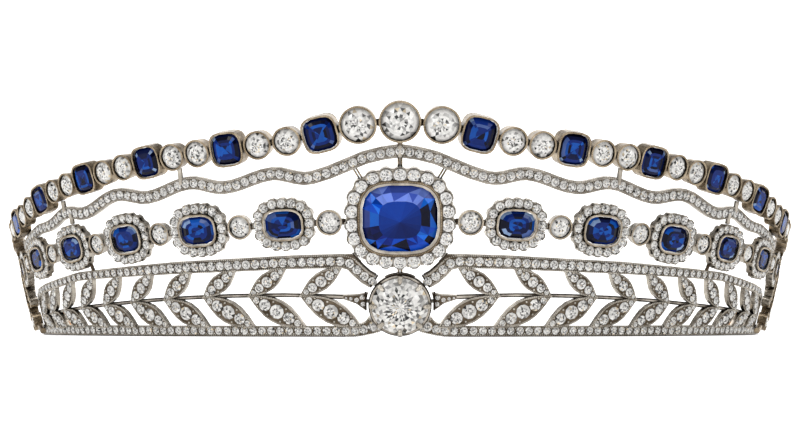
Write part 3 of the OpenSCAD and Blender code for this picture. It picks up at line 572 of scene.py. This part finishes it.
def edge_line(rows, sign, inset):
    """One edge of a band whose rows hold s, v and width"""
    m = np.array([stretch(s, v) for s, v, _ in rows])
    run = np.gradient(rows[:, :2], axis=0)
    run[:, 0] *= m
    normal = np.stack([-run[:, 1], run[:, 0]], 1) / np.linalg.norm(run, axis=1)[:, None]
    reach = sign * (rows[:, 2] / 2 - inset)
    return np.stack([rows[:, 0] + normal[:, 0] * reach / m, rows[:, 1] + normal[:, 1] * reach], 1)


def dense(rows, step=0.8):
    """The rows of a band at steps of about that length"""
    keys = distances(rows[:, :2])
    d = np.linspace(0, keys[-1], max(2, int(keys[-1] / step)))
    return np.stack([np.interp(d, keys, rows[:, c]) for c in range(3)], 1)


beads, warm_beads, pave, shade_sheets = Heap(), Heap(), Heap(), Heap()
BEAD_R, BEAD_PITCH = 0.22, 0.47
# Small stones of a band: pitch, largest radius, radius as a share of the band's width, height over the metal
PAVE_PITCH, PAVE_R, PAVE_SHARE, PAVE_LIFT = 2.04, 0.97, 0.375, 0.1
# Grains beside them: radius, place as a share of the stone's radius, height over the metal
GRAIN_R, GRAIN_SHARE, GRAIN_LIFT = 0.2, 0.66, 0.12
# Stones are turned at random up to this angle; the dark sheets of painted shade lie this far over the metal
LARGEST_TURN, SHADE_LIFT = 0.8, 0.02
SEED = 7
rng = np.random.default_rng(SEED)


def bead_line(heap, side, line, w, pitch=BEAD_PITCH, r=BEAD_R):
    p = resampled(side, line, w, pitch)
    heap.many(BALL, wall(side, p[:, 0], p[:, 1], w), r)


def bead_ring(heap, place, outline, r=0.16, pitch=0.38):
    """Beads round a flat outline on a place of the wall"""
    origin, axes = place
    loop = np.vstack([outline, outline[:1]])
    keys = distances(loop)
    count = max(6, round(keys[-1] / pitch))
    d = np.arange(count) * keys[-1] / count
    xy = np.stack([np.interp(d, keys, loop[:, c]) for c in (0, 1)], 1)
    heap.many(BALL, origin + raised(xy, 0) @ axes.T, r)


def facing(side, tris):
    """Triangles in the order that turns them outwards on that side"""
    return tris if side == RIGHT else tris[:, ::-1]


def fan(n):
    return np.array([[k, (k + 1) % n, n] for k in range(n)])


# Dark sheet of painted shade, laid where shade falls in recesses
def shade_sheet(verts, tris, place=AS_IS):
    shade_sheets.add((verts, tris, np.ones((len(tris), 3))), place)


def ribbon_shade(side, rows, w, inset):
    """Dark strip of painted shade under a row of small stones"""
    a, b = edge_line(rows, 1, inset), edge_line(rows, -1, inset)
    verts = np.concatenate([wall(side, a[:, 0], a[:, 1], w), wall(side, b[:, 0], b[:, 1], w)])
    n = len(rows)
    tris = [t for k in range(n - 1) for t in ((k, n + k, n + k + 1), (k, n + k + 1, k + 1))]
    shade_sheet(verts, facing(side, np.array(tris))[:, ::-1])


def pave_row(side, rows, w, start):
    """Row of small stones along a band, with grains between them"""
    line = resampled(side, rows[:, :2], w, PAVE_PITCH)
    way = 1 if rows[0, 0] < rows[-1, 0] else -1
    widths = np.interp(way * line[:, 0], way * rows[:, 0], rows[:, 2])
    sizes = np.minimum(PAVE_R, widths * PAVE_SHARE)
    for (s, v), r in zip(line[start:], sizes[start:]):
        pave.add(small_stone(rng), seat(side, s, v, w + PAVE_LIFT, rng.uniform(0, LARGEST_TURN)), r)
    for k in range(len(line) - 1):
        s, v = (line[k] + line[k + 1]) / 2
        origin, axes = seat(side, s, v, w + GRAIN_LIFT)
        run = line[k + 1] - line[k]
        tilt = math.atan2(run[1], run[0] * stretch(s, v))
        across = np.array([-math.sin(tilt), math.cos(tilt), 0])
        for sign in (-1, 1):
            beads.many(BALL, (origin + axes @ (across * sign * sizes[k] * GRAIN_SHARE))[None], GRAIN_R)


def set_band(side, rows, w, start=0):
    """Pave of a band: millgrain edges, a dark sheet of painted shade and a row of stones from that number on
    """
    rows = dense(rows)
    for sign in (-1, 1):
        bead_line(beads, side, edge_line(rows, sign, BEAD_R), w)
    ribbon_shade(side, rows, w + SHADE_LIFT, 2.4 * BEAD_R)
    pave_row(side, rows, w, start)


def eased(a, b, t):
    """From a to b, slow at both ends"""
    return a + (b - a) * (1 - math.cos(math.pi * t)) / 2


# The ribbon runs under the crest's collets up to this one
RIBBON_LAST_COLLET = 17
cluster_tops = np.array([CLUSTER_PLACE[k] + [0, HALF_H[k]] for k in CLUSTERS])
crest_undersides = np.array([CREST_PLACE[k] - [0, crest_unit * sapphire_share(k)]
                             for k in range(RIBBON_LAST_COLLET + 1)])


def ribbon_row(share, free_share):
    """s, v and width of the ribbon at a share of its reach"""
    s = RIBBON_REACH * share
    width = RIBBON_WIDTH * np.interp(share, *RIBBON_NARROWING)
    lowest = np.interp(s, *cluster_tops.T)
    free = np.interp(s, *crest_undersides.T) - lowest - width
    return [s, lowest + width / 2 + free * free_share, width]


RIBBON_STEPS = 5
ribbon_rows = []
for (a0, a1), (b0, b1) in zip(RIBBON_SHARES[:-1], RIBBON_SHARES[1:]):
    for t in np.arange(RIBBON_STEPS) / RIBBON_STEPS:
        ribbon_rows.append(ribbon_row(a0 + (b0 - a0) * t, eased(a1, b1, t)))
ribbon_rows.append(ribbon_row(*RIBBON_SHARES[-1]))
ribbon_rows = np.array(ribbon_rows)

# Rows of the rail where its upper run starts and where it turns down
RAIL_CORNER, RAIL_TURN = 3, 14
STRIP_PAVE_START, STRIP_PAVE_END, STRIP_PAVE_V, STRIP_PAVE_WIDTH = CURL_START + 0.4, 113, 1.3, 2.3

for side in SIDES:
    # Both halves meet in the middle, where the right one sets the stone
    set_band(side, ribbon_rows, RIBBON_FRONT, start=0 if side == RIGHT else 1)
    set_band(side, RAIL_ROWS[:RAIL_TURN], PLATE_FRONT)
    strip_s = np.arange(STRIP_PAVE_START, STRIP_PAVE_END, 1.0)
    strip_rows = np.stack([strip_s, np.full(len(strip_s), STRIP_PAVE_V),
                           np.full(len(strip_s), STRIP_PAVE_WIDTH)], 1)
    set_band(side, strip_rows, SHADE_LIFT)

# Leaves
rail_rising = RAIL_ROWS[RAIL_CORNER:RAIL_TURN]
leaf_pitches = [LEAF_PITCH * (1 - LEAF_TAPER * n) for n in range(LEAF_PAIRS)]
leaf_at = running(leaf_pitches)[:LEAF_PAIRS] + FIRST_LEAF
# A leaf's outline is widened by the first; its beads and its dark sheet of painted shade lie inside of that
# by the next two
EDGE_OUT, EDGE_IN, SHADE_IN, SHADE_SCALE = 0.12, 0.18, 0.3, np.array([0.92, 0.95])
# Stones of a leaf: radius of the middle one and of the others as shares of half the leaf's width
MIDDLE_SHARE, OTHER_SHARE, STONE_GAP = 0.64, 0.66, 0.1
LEAF_GRAIN_SHARE, LEAF_GRAIN_R, TIP_BEAD_R, TIP_BEAD_GAP, ROOT_BEAD_R = 0.68, 0.27, 0.24, 0.3, 0.3


def leaf(side, root, tip, fullness):
    """Small stones, grains and beads of one leaf"""
    m = stretch(*root)
    run = np.array([(tip[0] - root[0]) * m, tip[1] - root[1]])
    length = np.linalg.norm(run)
    half = length * fullness / 2
    middle = (np.array(root) + tip) / 2
    place = seat(side, middle[0], middle[1], PLATE_FRONT, math.atan2(run[1], run[0]))
    x = np.linspace(-0.5, 0.5, 9)
    y = half * np.sin(np.pi * (x + 0.5)) + EDGE_OUT

    def outline(inset):
        return np.concatenate([np.stack([length * x, y - inset], 1),
                               np.stack([length * x[::-1], inset - y[::-1]], 1)])

    bead_ring(beads, place, outline(EDGE_IN), r=0.21, pitch=0.44)
    # Dark sheet of painted shade under the leaf's stones
    inner = outline(SHADE_IN) * SHADE_SCALE
    shade_sheet(np.vstack([raised(inner, SHADE_LIFT), [[0, 0, SHADE_LIFT]]]), fan(len(inner))[:, ::-1], place)
    origin, axes = place
    r = MIDDLE_SHARE * half
    spots = [(0.0, r)]
    for _ in range(2):
        x, before = spots[-1][0], r
        # The radius follows the leaf's width at the stone's own place
        for _ in range(4):
            r = OTHER_SHARE * half * math.cos(math.pi * min(0.5, (x + before + r) / length))
        spots.append((x + before + r + STONE_GAP, r))
    for x, r in spots:
        for sign in (-1, 1) if x else (1,):
            pave.add(small_stone(rng), (origin + axes @ [sign * x, 0, PAVE_LIFT], axes), r)
    for x in (spots[0][1], spots[1][0] + spots[1][1]):
        spread = LEAF_GRAIN_SHARE * half * math.cos(math.pi * x / length)
        grains = [[along * x, across * spread, PAVE_LIFT] for along in (-1, 1) for across in (-1, 1)]
        beads.many(BALL, origin + np.array(grains) @ axes.T, LEAF_GRAIN_R)
    tips = [[along * (spots[2][0] + spots[2][1] + TIP_BEAD_GAP), 0, PAVE_LIFT] for along in (-1, 1)]
    beads.many(BALL, origin + np.array(tips) @ axes.T, TIP_BEAD_R)


# Stones of the stem's flared end and of the curl: s, v and radius
FLARE_STONES = (
    (7.75, 8.45, 0.55), (7.6, 7.05, 0.52), (8.95, 7.95, 0.5), (10.1, 8.2, 0.36), (11.1, 8.35, 0.25))
CURL_STONES = ((9.5, 1.3, 0.86), (7.62, 1.62, 0.95), (5.75, 2.2, 1.05), (4.25, 1.8, 0.46))
CURL_MIDDLE = np.array([7.2, 1.5])

for side in SIDES:
    for n in range(LEAF_PAIRS):
        s = leaf_at[n]
        root = (s, np.interp(s, STEM_ROWS[:, 0], STEM_ROWS[:, 1]))
        upper, lower = s - UPPER_LEAN * leaf_pitches[n], s - LOWER_LEAN * leaf_pitches[n]
        upper_v = np.interp(upper, rail_rising[:, 0], rail_rising[:, 1])
        upper_v -= np.interp(upper, rail_rising[:, 0], rail_rising[:, 2]) / 2 - WELD
        fullness = LEAF_FULL * (1 + LEAF_SWELL * n)
        leaf(side, root, (upper, upper_v), fullness)
        leaf(side, root, (lower, STRIP - WELD), fullness)
        beads.many(BALL, wall(side, *root, PLATE_FRONT + PAVE_LIFT)[None], ROOT_BEAD_R)
    # The stem's flared end
    flare_rows = dense(STEM_ROWS[:3], 0.4)
    for sign in (-1, 1):
        bead_line(beads, side, edge_line(flare_rows, sign, 0.15), 0.0, r=0.16, pitch=0.36)
    # Dark sheet of painted shade under the flared end's stones
    ribbon_shade(side, flare_rows, SHADE_LIFT, 0.3)
    for s, v, r in FLARE_STONES:
        pave.add(small_stone(rng), seat(side, s, v, 0.08), r)
    # The curl, with one larger stone
    curl = CURL_SHARES * [-CURL_LENGTH, STRIP] + [CURL_START, 0]
    inner = CURL_MIDDLE + (curl - CURL_MIDDLE) * [0.97, 0.9]
    bead_line(beads, side, np.vstack([inner[1:], inner[:1]]), 0.05)
    # Dark sheet of painted shade inside the curl
    shade_sheet(wall(side, *np.vstack([inner, CURL_MIDDLE]).T, SHADE_LIFT), facing(side, fan(len(inner))))
    for s, v, r in CURL_STONES:
        pave.add(small_stone(rng), seat(side, s, v, PAVE_LIFT), r)

posts, shadow_rods, painted_shade_marks = Heap(), Heap(), Heap()


def tube(a, b, r, n=8):
    """Closed rod between two points"""
    d = (b - a) / np.linalg.norm(b - a)
    other = np.array([0, 0, 1.0]) if abs(d[2]) < 0.9 else np.array([1.0, 0, 0])
    x = np.cross(d, other)
    x /= np.linalg.norm(x)
    y = np.cross(d, x)
    ring = circle(n, r) @ np.stack([x, y])
    verts = np.concatenate([a + ring, b + ring, [a], [b]])
    tris = []
    for k in range(n):
        j = (k + 1) % n
        tris += [(k, j, n + j), (k, n + j, n + k), (j, k, 2 * n), (n + k, n + j, 2 * n + 1)]
    return verts, np.array(tris), np.ones((len(tris), 3))


def slab(side, ends, w0, w1, half):
    """Thin dark plate of painted shadow on edge along a line of (s, v) points, from depth w0 to w1, made of
    rods side by side
    """
    for a, b in zip(ends[:-1], ends[1:]):
        for w in np.arange(w0 + half, w1 - half + 0.01, (w1 - w0 - 2 * half) / 3):
            shadow_rods.add(tube(wall(side, *a, w), wall(side, *b, w), half), AS_IS)


# Pairs of posts in the middle: upper and lower v, w and radius
MIDDLE_POSTS = ((15.1, 13.2, 0, 0.25), (41.9, 40.9, 0.95, 0.16), (38.4, 36.4, 0.95, 0.16))
POST_SHIFTS = (-0.3, 0.3)
# Place in the row of the cluster that stands on the dark posts
POST_CLUSTER = 8

for side in SIDES:
    # The rail's diagonal front end: dark plates of painted shadow along its upper and front edges, and a
    # short one beside the stem
    upper = edge_line(RAIL_ROWS[:RAIL_CORNER + 1], 1, -0.1)
    slab(side, upper, PLATE_BACK, 0.4, 0.13)
    lower = edge_line(RAIL_ROWS[:2], -1, 0)
    slab(side, np.array([upper[0] - [0.25, 0.1], lower[0] - [0.25, -0.05]]), PLATE_BACK, 0.6, 0.2)
    slab(side, np.array([[7.06, 5.75], [7.06, 9.65]]), PLATE_BACK, 0.45, 0.18)
    # Dark rods of painted shade along both edges of the stem
    for sign in (-1, 1):
        stem_edge = edge_line(dense(STEM_ROWS[2:], 1.5), sign, 0.1)
        slab(side, stem_edge, -0.35, 0.1, 0.12)
    # The rail's corner over the diagonal end: a dark sheet of painted shade, a bead line and a dark plate of
    # painted shadow
    corner = np.array([[12.4, 17.72], [9.55, 17.95], [7.9, 16.1], [9.6, 16.3]])
    shade_sheet(wall(side, *corner.T, PLATE_FRONT + SHADE_LIFT), facing(side, np.array([[0, 1, 2], [0, 2, 3]])))
    bead_line(beads, side, corner[:2] - [0, 0.15], PLATE_FRONT)
    slab(side, corner[1:3], PLATE_BACK, 0.45, 0.16)
    # Two small posts from the ribbon to the middle cluster's shoulder
    under = np.interp(8.6, ribbon_rows[:, 0], ribbon_rows[:, 1]) - RIBBON_WIDTH / 2
    for shift in POST_SHIFTS:
        posts.add(tube(wall(side, 8.9 + shift, under + 0.4, 0.2), wall(side, 7.25 + shift, 33.5, 0.6), 0.2),
                  AS_IS)
    # Dark post from the fourth cluster down to the rail: a rod of painted shade
    high_end = CLUSTER_PLACE[POST_CLUSTER] - [0.62 * HALF_W[POST_CLUSTER], 0.72 * HALF_H[POST_CLUSTER]]
    rail_top = np.interp(high_end[0], rail_rising[:, 0], rail_rising[:, 1] + rail_rising[:, 2] / 2)
    painted_shade_marks.add(tube(wall(side, *high_end, 0.3), wall(side, high_end[0] - 0.3, rail_top - 0.2, 0.1), 0.4),
                AS_IS)
for shift in POST_SHIFTS:
    for upper_v, lower_v, w, r in MIDDLE_POSTS:
        a, b = (wall(RIGHT, 0, v, w) + [shift, 0, 0] for v in (upper_v, lower_v))
        posts.add(tube(a, b, r), AS_IS)

# Clusters
OVAL_POWER, GEM_POWER, CREST_POWER, HALO_EDGE = 2.6, 3, 3.4, 0.6 * RIM
# The middle cluster's halo: size of its stones, their height and their place as a share of the oval
MIDDLE_HALO, HALO_SIZE_SHARE, HALO_LIFT = (1.36, 0.3, 0.98), 0.98, -0.05
# Gap between stone and metal; height of a cluster's bezel over its scalloped edge
GEM_GAP, RIM_STEP = 0.06, 0.5


def even_angles(a, b, count, shift):
    """Angles at even distances along the oval"""
    t = np.linspace(0, 2 * np.pi, 121)
    keys = distances(oval(a, b, t, OVAL_POWER))
    return np.interp((np.arange(count) + shift) / count * keys[-1], keys, t)


def cluster(side, k):
    """Sapphire, halo, bead lines and grains of one cluster"""
    half_w, half_h = HALF_W[k], HALF_H[k]
    halo_share, halo_count, halo_start = (0.115, 22, 0.5) if k == 0 else (0.175, 16, 0)
    halo_r = half_h * halo_share
    a, b = half_w - halo_r - HALO_EDGE, half_h - halo_r - HALO_EDGE
    angles = even_angles(a, b, halo_count, halo_start)
    s, v = CLUSTER_PLACE[k]
    top = CLUSTER_BACK + CLUSTER_DEPTH
    place = seat(side, s, v, top - RIM_STEP, CLUSTER_SLOPE[k])
    c, q = np.cos(angles), np.sin(angles)
    power = 2 - 2 / OVAL_POWER
    outward = np.arctan2(np.sign(q) * abs(q) ** power / b, np.sign(c) * abs(c) ** power / a)
    spots = oval(a, b, angles, OVAL_POWER)
    # The outline is scalloped: an arc round each small stone
    bends = np.radians([-54, -27, 0, 27, 54])
    outline = np.concatenate([
        spot + (halo_r + HALO_EDGE * 0.55) * np.stack([np.cos(o + bends), np.sin(o + bends)], 1)
        for spot, o in zip(spots, outward)])
    bead_ring(beads, place, outline, r=0.17, pitch=0.38)
    bezel = 2.4 * RIM if k == 0 else 1.1 * RIM
    gem_a, gem_b = a - halo_r - bezel - GEM_GAP, b - halo_r - bezel - GEM_GAP
    origin, axes = place
    high = (origin + axes @ [0, 0, RIM_STEP], axes)
    line = cushion(gem_a + 0.7 * bezel, gem_b + 0.7 * bezel, 40, GEM_POWER)
    bead_ring(warm_beads, high, line, r=0.15, pitch=0.34)
    if k == 0:
        # Dark groove between the bezel's line and the small stones: a ring of painted shade
        n = 40
        rings = [raised(cushion(gem_a + reach, gem_b + reach, n, GEM_POWER), RIM_STEP + SHADE_LIFT)
                 for reach in (0.42, 1.02)]
        tris = [t for j in range(n) for t in ((j, n + j, n + (j + 1) % n), (j, n + (j + 1) % n, (j + 1) % n))]
        painted_shade_marks.add((np.vstack(rings), np.array(tris), np.ones((2 * n, 3))), place)
    heap = halo_heaps[side if k else 0]
    halo_size, lift, inward = MIDDLE_HALO if k == 0 else (HALO_SIZE_SHARE * halo_r, HALO_LIFT, 1.0)
    for spot in spots:
        heap.add(brilliant(rng, 6) if k == 0 else small_stone(rng),
                 (origin + axes @ [*(spot * inward), lift], axes), halo_size)
    for spot, after in zip(spots, np.roll(spots, -1, axis=0)):
        middle = (spot + after) / 2
        for reach in (0.9, 1.09):
            beads.many(BALL, (origin + axes @ [*(middle * reach), HALO_LIFT])[None], 0.2 if k else 0.26)
    heap = Heap()
    if k == 0:
        shape = middle_stone(rng, gem_a - GEM_GAP, gem_b - GEM_GAP)
        name, node = "middle_sapphire", "centre_sapphire"
    else:
        shape = stepped(rng, gem_a - GEM_GAP, gem_b - GEM_GAP, 12, GEM_POWER)
        word = "left" if side == LEFT else "right"
        name, node = f"step_sapphire_{word}_{k // 2}", f"cluster_sapphire_{word}_{k // 2}"
    heap.add(shape, (origin + axes @ [0, 0, -0.1], axes))
    heap.piece(name, SAPPHIRE, "sapphire", replaces=(node,))


halo_heaps = {0: Heap(), LEFT: Heap(), RIGHT: Heap()}
cluster(RIGHT, 0)
for side in SIDES:
    for k in CLUSTERS[1:]:
        cluster(side, k)
halo_heaps[0].piece("middle_halo", DIAMOND, "diamond", replaces=("centre_halo",))
halo_heaps[LEFT].piece("halo_stones_left", DIAMOND, "diamond", replaces=("halo_left",))
halo_heaps[RIGHT].piece("halo_stones_right", DIAMOND, "diamond", replaces=("halo_right",))


def girdle_drop(r):
    """Depth of a round stone's girdle under its collet's edge"""
    return 0.18 * r


def round_stone(heap, side, s, v, top, r):
    """Stone in a round collet of radius r, turned at random"""
    stone = brilliant(rng)
    heap.add(stone, seat(side, s, v, top - girdle_drop(r), rng.uniform(0, LARGEST_TURN)), r - RIM - GEM_GAP)


# Bead lines on the collets lie this far inside of the edge
SINGLE_BEADS_IN, CREST_BEADS_IN = 0.22, 0.2
# Dark links, beads of painted shade between the collets: distance of their two beads from the middle and the
# beads' radius, in both rows
SINGLE_LINK, CREST_LINK = (0.35, 0.42), (0.42, 0.45)

# Single stones between the clusters and the crest's stones
for side, word in ((LEFT, "left"), (RIGHT, "right")):
    heap = Heap()
    for k in SINGLES:
        s, v = CLUSTER_PLACE[k]
        r = HALF_W[k]
        top = CLUSTER_BACK + SINGLE_DEPTH
        round_stone(heap, side, s, v, top, r)
        bead_ring(warm_beads, seat(side, s, v, top), circle(40, r - SINGLE_BEADS_IN))
        for reach in (-1, 1):
            link = cluster_at[k] + reach * (r + CLUSTER_GAP / 2)
            if link < cluster_keys[-1]:
                s, v = at_length(cluster_keys, cluster_line, link)
                spot = wall(side, s, v, CLUSTER_BACK + 0.75 * SINGLE_DEPTH)
                shift, link_r = np.array([0, 0, SINGLE_LINK[0]]), SINGLE_LINK[1]
                painted_shade_marks.many(BALL, np.array([spot + shift, spot - shift]), link_r)
    heap.piece("single_stones_" + word, DIAMOND, "diamond", replaces=("spacers_" + word,))
    heap = Heap()
    for k in range(1, CREST_LAST + 1):
        s, v = CREST_PLACE[k]
        r, top = CREST_R[k], CREST_TOP[k]
        if is_crest_sapphire(k):
            stone = Heap()
            stone.add(stepped(rng, r - RIM - GEM_GAP, r - RIM - GEM_GAP, 16, CREST_POWER),
                      seat(side, s, v, top - girdle_drop(r), CREST_SLOPE[k]))
            number = (k + 1) // 3
            stone.piece(f"crest_stone_{word}_{number}", SAPPHIRE, "sapphire",
                        replaces=(f"crest_sapphire_{word}_{number}",))
            line = cushion(r - CREST_BEADS_IN, r - CREST_BEADS_IN, 40, CREST_POWER)
            bead_ring(warm_beads, seat(side, s, v, top, CREST_SLOPE[k]), line)
            continue
        target = Heap() if k == 1 else heap
        round_stone(target, side, s, v, top, r)
        if k == 1:
            target.piece("second_stone_" + word, DIAMOND, "diamond", replaces=("crest_second_" + word,))
        bead_ring(warm_beads, seat(side, s, v, top), circle(40, r - CREST_BEADS_IN))
    heap.piece("crest_stones_" + word, DIAMOND, "diamond", replaces=("crest_diamonds_" + word,))
    # Dark links from collet to collet: beads of painted shade in the gaps
    for k in range(1, CREST_LAST + 1):
        a, b = (wall(side, *CREST_PLACE[j], 0.5 * CREST_TOP[j]) for j in (k - 1, k))
        run = (b - a) / np.linalg.norm(b - a)
        spot = a + run * (CREST_R[k - 1] + CREST_GAP / 2)
        up = np.array([0, 0, 1]) - run * run[2]
        up /= np.linalg.norm(up)
        shift, link_r = up * CREST_LINK[0], CREST_LINK[1]
        painted_shade_marks.many(BALL, np.array([spot + shift, spot - shift]), link_r)

heap = Heap()
r, top = CREST_R[0], CREST_TOP[0]
heap.add(brilliant(rng), seat(RIGHT, 0, CREST_RISE, top - girdle_drop(r)), r - RIM - GEM_GAP)
heap.piece("top_stone", DIAMOND, "diamond", replaces=("crest_top",))
bead_ring(warm_beads, seat(RIGHT, 0, CREST_RISE, top), circle(60, r - CREST_BEADS_IN))

# The front diamond with its claws: rings of eight beads of radius, height and size
heap = Heap()
FRONT_STONE_R, FRONT_STONE_LIFT = 5.95, 0.35
CLAW_BEADS = ((5.95, 1.05, 0.62), (5.5, 1.35, 0.55), (5.15, 1.3, 0.42))
RING_TOP = RING_BACK + RING_DEPTH
place = seat(RIGHT, 0, CLAW_RISE, RING_TOP + FRONT_STONE_LIFT)
heap.add(brilliant(rng, 16, LARGE_RINGS), place, FRONT_STONE_R)
heap.piece("front_stone", DIAMOND, "diamond", replaces=("front_diamond",))
origin, axes = seat(RIGHT, 0, CLAW_RISE, RING_TOP)
for r, z, size in CLAW_BEADS:
    beads.many(BALL, origin + raised(circle(8, r), z) @ axes.T, size)
# Dark line round the ring: painted shadow
outline = origin + raised(circle(64, CLAW_RING_R + 0.12), -0.5) @ axes.T
for a, b in zip(outline, np.roll(outline, -1, axis=0)):
    shadow_rods.add(tube(a, b, 0.15, 6), AS_IS)

beads.piece("millgrain_silver_painted_highlight", MILL, "silver", smooth=True)
warm_beads.piece("millgrain_warm_painted_highlight", WARM_MILL, "silver", smooth=True)
shade_sheets.piece("painted_recess_shade", RECESS_SHADE, "silver")
painted_shade_marks.piece("painted_shade_grooves_and_links", GROOVE_SHADE, "silver")
posts.piece("small_posts", WARM, "silver", smooth=True)
shadow_rods.piece("painted_shadow_plates", EDGE_SHADOW, "silver", smooth=True)
pave.piece("pave_stones", DIAMOND, "diamond")

# The CAD nodes that show
for name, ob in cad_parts.items():
    look = {"crest_row": WARM, "end_loop_left": GOLD, "end_loop_right": GOLD}.get(name, SILVER)
    if not ob.hide_render:
        ob.data.materials.clear()
        ob.data.materials.append(look)

# Floor and backdrop in one sweep
SWEEP_START, SWEEP_R = 2.3, 0.6
profile = [(-4.0, 0.0), (SWEEP_START, 0.0)]
profile += [(SWEEP_START + SWEEP_R * math.sin(a), SWEEP_R * (1 - math.cos(a)))
            for a in np.linspace(0.1, math.pi / 2, 12)]
profile.append((SWEEP_START + SWEEP_R, 2.5))
me = bpy.data.meshes.new("studio_sweep")
verts = [(x, y, z) for y, z in profile for x in (-4, 4)]
me.from_pydata(verts, [], [(2 * k, 2 * k + 1, 2 * k + 3, 2 * k + 2) for k in range(len(profile) - 1)])
me.update()
for p in me.polygons:
    p.use_smooth = True
sweep = bpy.data.objects.new("studio_sweep", me)
bpy.context.scene.collection.objects.link(sweep)
m, nodes, links, bsdf = new_material("studio_white")
links.new(ramp(nodes, links, noise(nodes, links, 3), [(0.3, (0.9, 0.9, 0.9)), (0.7, (0.93, 0.93, 0.93))]),
          bsdf.inputs["Base Color"])
bsdf.inputs["Roughness"].default_value = 1.0
bsdf.inputs["Specular IOR Level"].default_value = 0.0
bsdf.inputs["Emission Color"].default_value = (1, 1, 1, 1)
coords = nodes.new("ShaderNodeTexCoord")
parts = nodes.new("ShaderNodeSeparateXYZ")
glow = nodes.new("ShaderNodeMapRange")
glow.inputs["From Min"].default_value = 0.1
glow.inputs["From Max"].default_value = 0.7
glow.inputs["To Min"].default_value = 0.5
glow.inputs["To Max"].default_value = 1.0
links.new(coords.outputs["Object"], parts.inputs["Vector"])
links.new(parts.outputs["Y"], glow.inputs["Value"])
links.new(glow.outputs["Result"], bsdf.inputs["Emission Strength"])
me.materials.append(m)


def area(name, at, look, size, power):
    data = bpy.data.lights.new(name, "AREA")
    data.shape = "RECTANGLE"
    data.size, data.size_y = size
    data.energy = power
    ob = bpy.data.objects.new(name, data)
    ob.location = at
    ob.rotation_euler = (Vector(look) - Vector(at)).to_track_quat("-Z", "Y").to_euler()
    bpy.context.scene.collection.objects.link(ob)


area("top_light", (0, -0.3, 0.8), (0, 0, 0), (0.6, 0.3), 2.4)
area("left_light", (-0.7, -0.7, 0.45), (0, 0, 0.03), (0.3, 0.45), 2.9)
area("right_light", (0.8, -0.6, 0.3), (0, 0, 0.03), (0.2, 0.45), 1.6)
# Surroundings: dark at the horizon, bright overhead
world = bpy.data.worlds.new("studio_world")
world.use_nodes = True
nodes, links = world.node_tree.nodes, world.node_tree.links
coords = nodes.new("ShaderNodeTexCoord")
parts = nodes.new("ShaderNodeSeparateXYZ")
links.new(coords.outputs["Generated"], parts.inputs["Vector"])
sky = ramp(nodes, links, parts.outputs["Z"], [(0.0, (0.03, 0.03, 0.03)), (0.15, (0.06, 0.06, 0.06)),
                                            (0.45, (0.5, 0.5, 0.5)), (1.0, (1, 1, 1))])
links.new(sky, nodes["Background"].inputs["Color"])
nodes["Background"].inputs["Strength"].default_value = 0.55
bpy.context.scene.world = world
bpy.context.scene.view_settings.view_transform = "Standard"

# Camera low over the floor, as near to the photograph's view as the floor lets it be
PX_PER_MM, DISTANCE, WIDTH_PX = 4.76, 0.7, 800
CAMERA_HEIGHT, AIM_HEIGHT, SENSOR = 0.006, 0.0255, 36
cam_data = bpy.data.cameras.new("camera")
cam = bpy.data.objects.new("camera", cam_data)
bpy.context.scene.collection.objects.link(cam)
cam_data.sensor_width = SENSOR
cam_data.lens = SENSOR * PX_PER_MM * DISTANCE * 1000 / WIDTH_PX
target_y = -float(MIDDLE[1]) * MM
cam.location = (0, target_y - DISTANCE, CAMERA_HEIGHT)
aim = Vector((0, target_y, AIM_HEIGHT))
cam.rotation_euler = (aim - cam.location).to_track_quat("-Z", "Y").to_euler()
cam_data.clip_start, cam_data.clip_end = 0.01, 20
bpy.context.scene.camera = cam
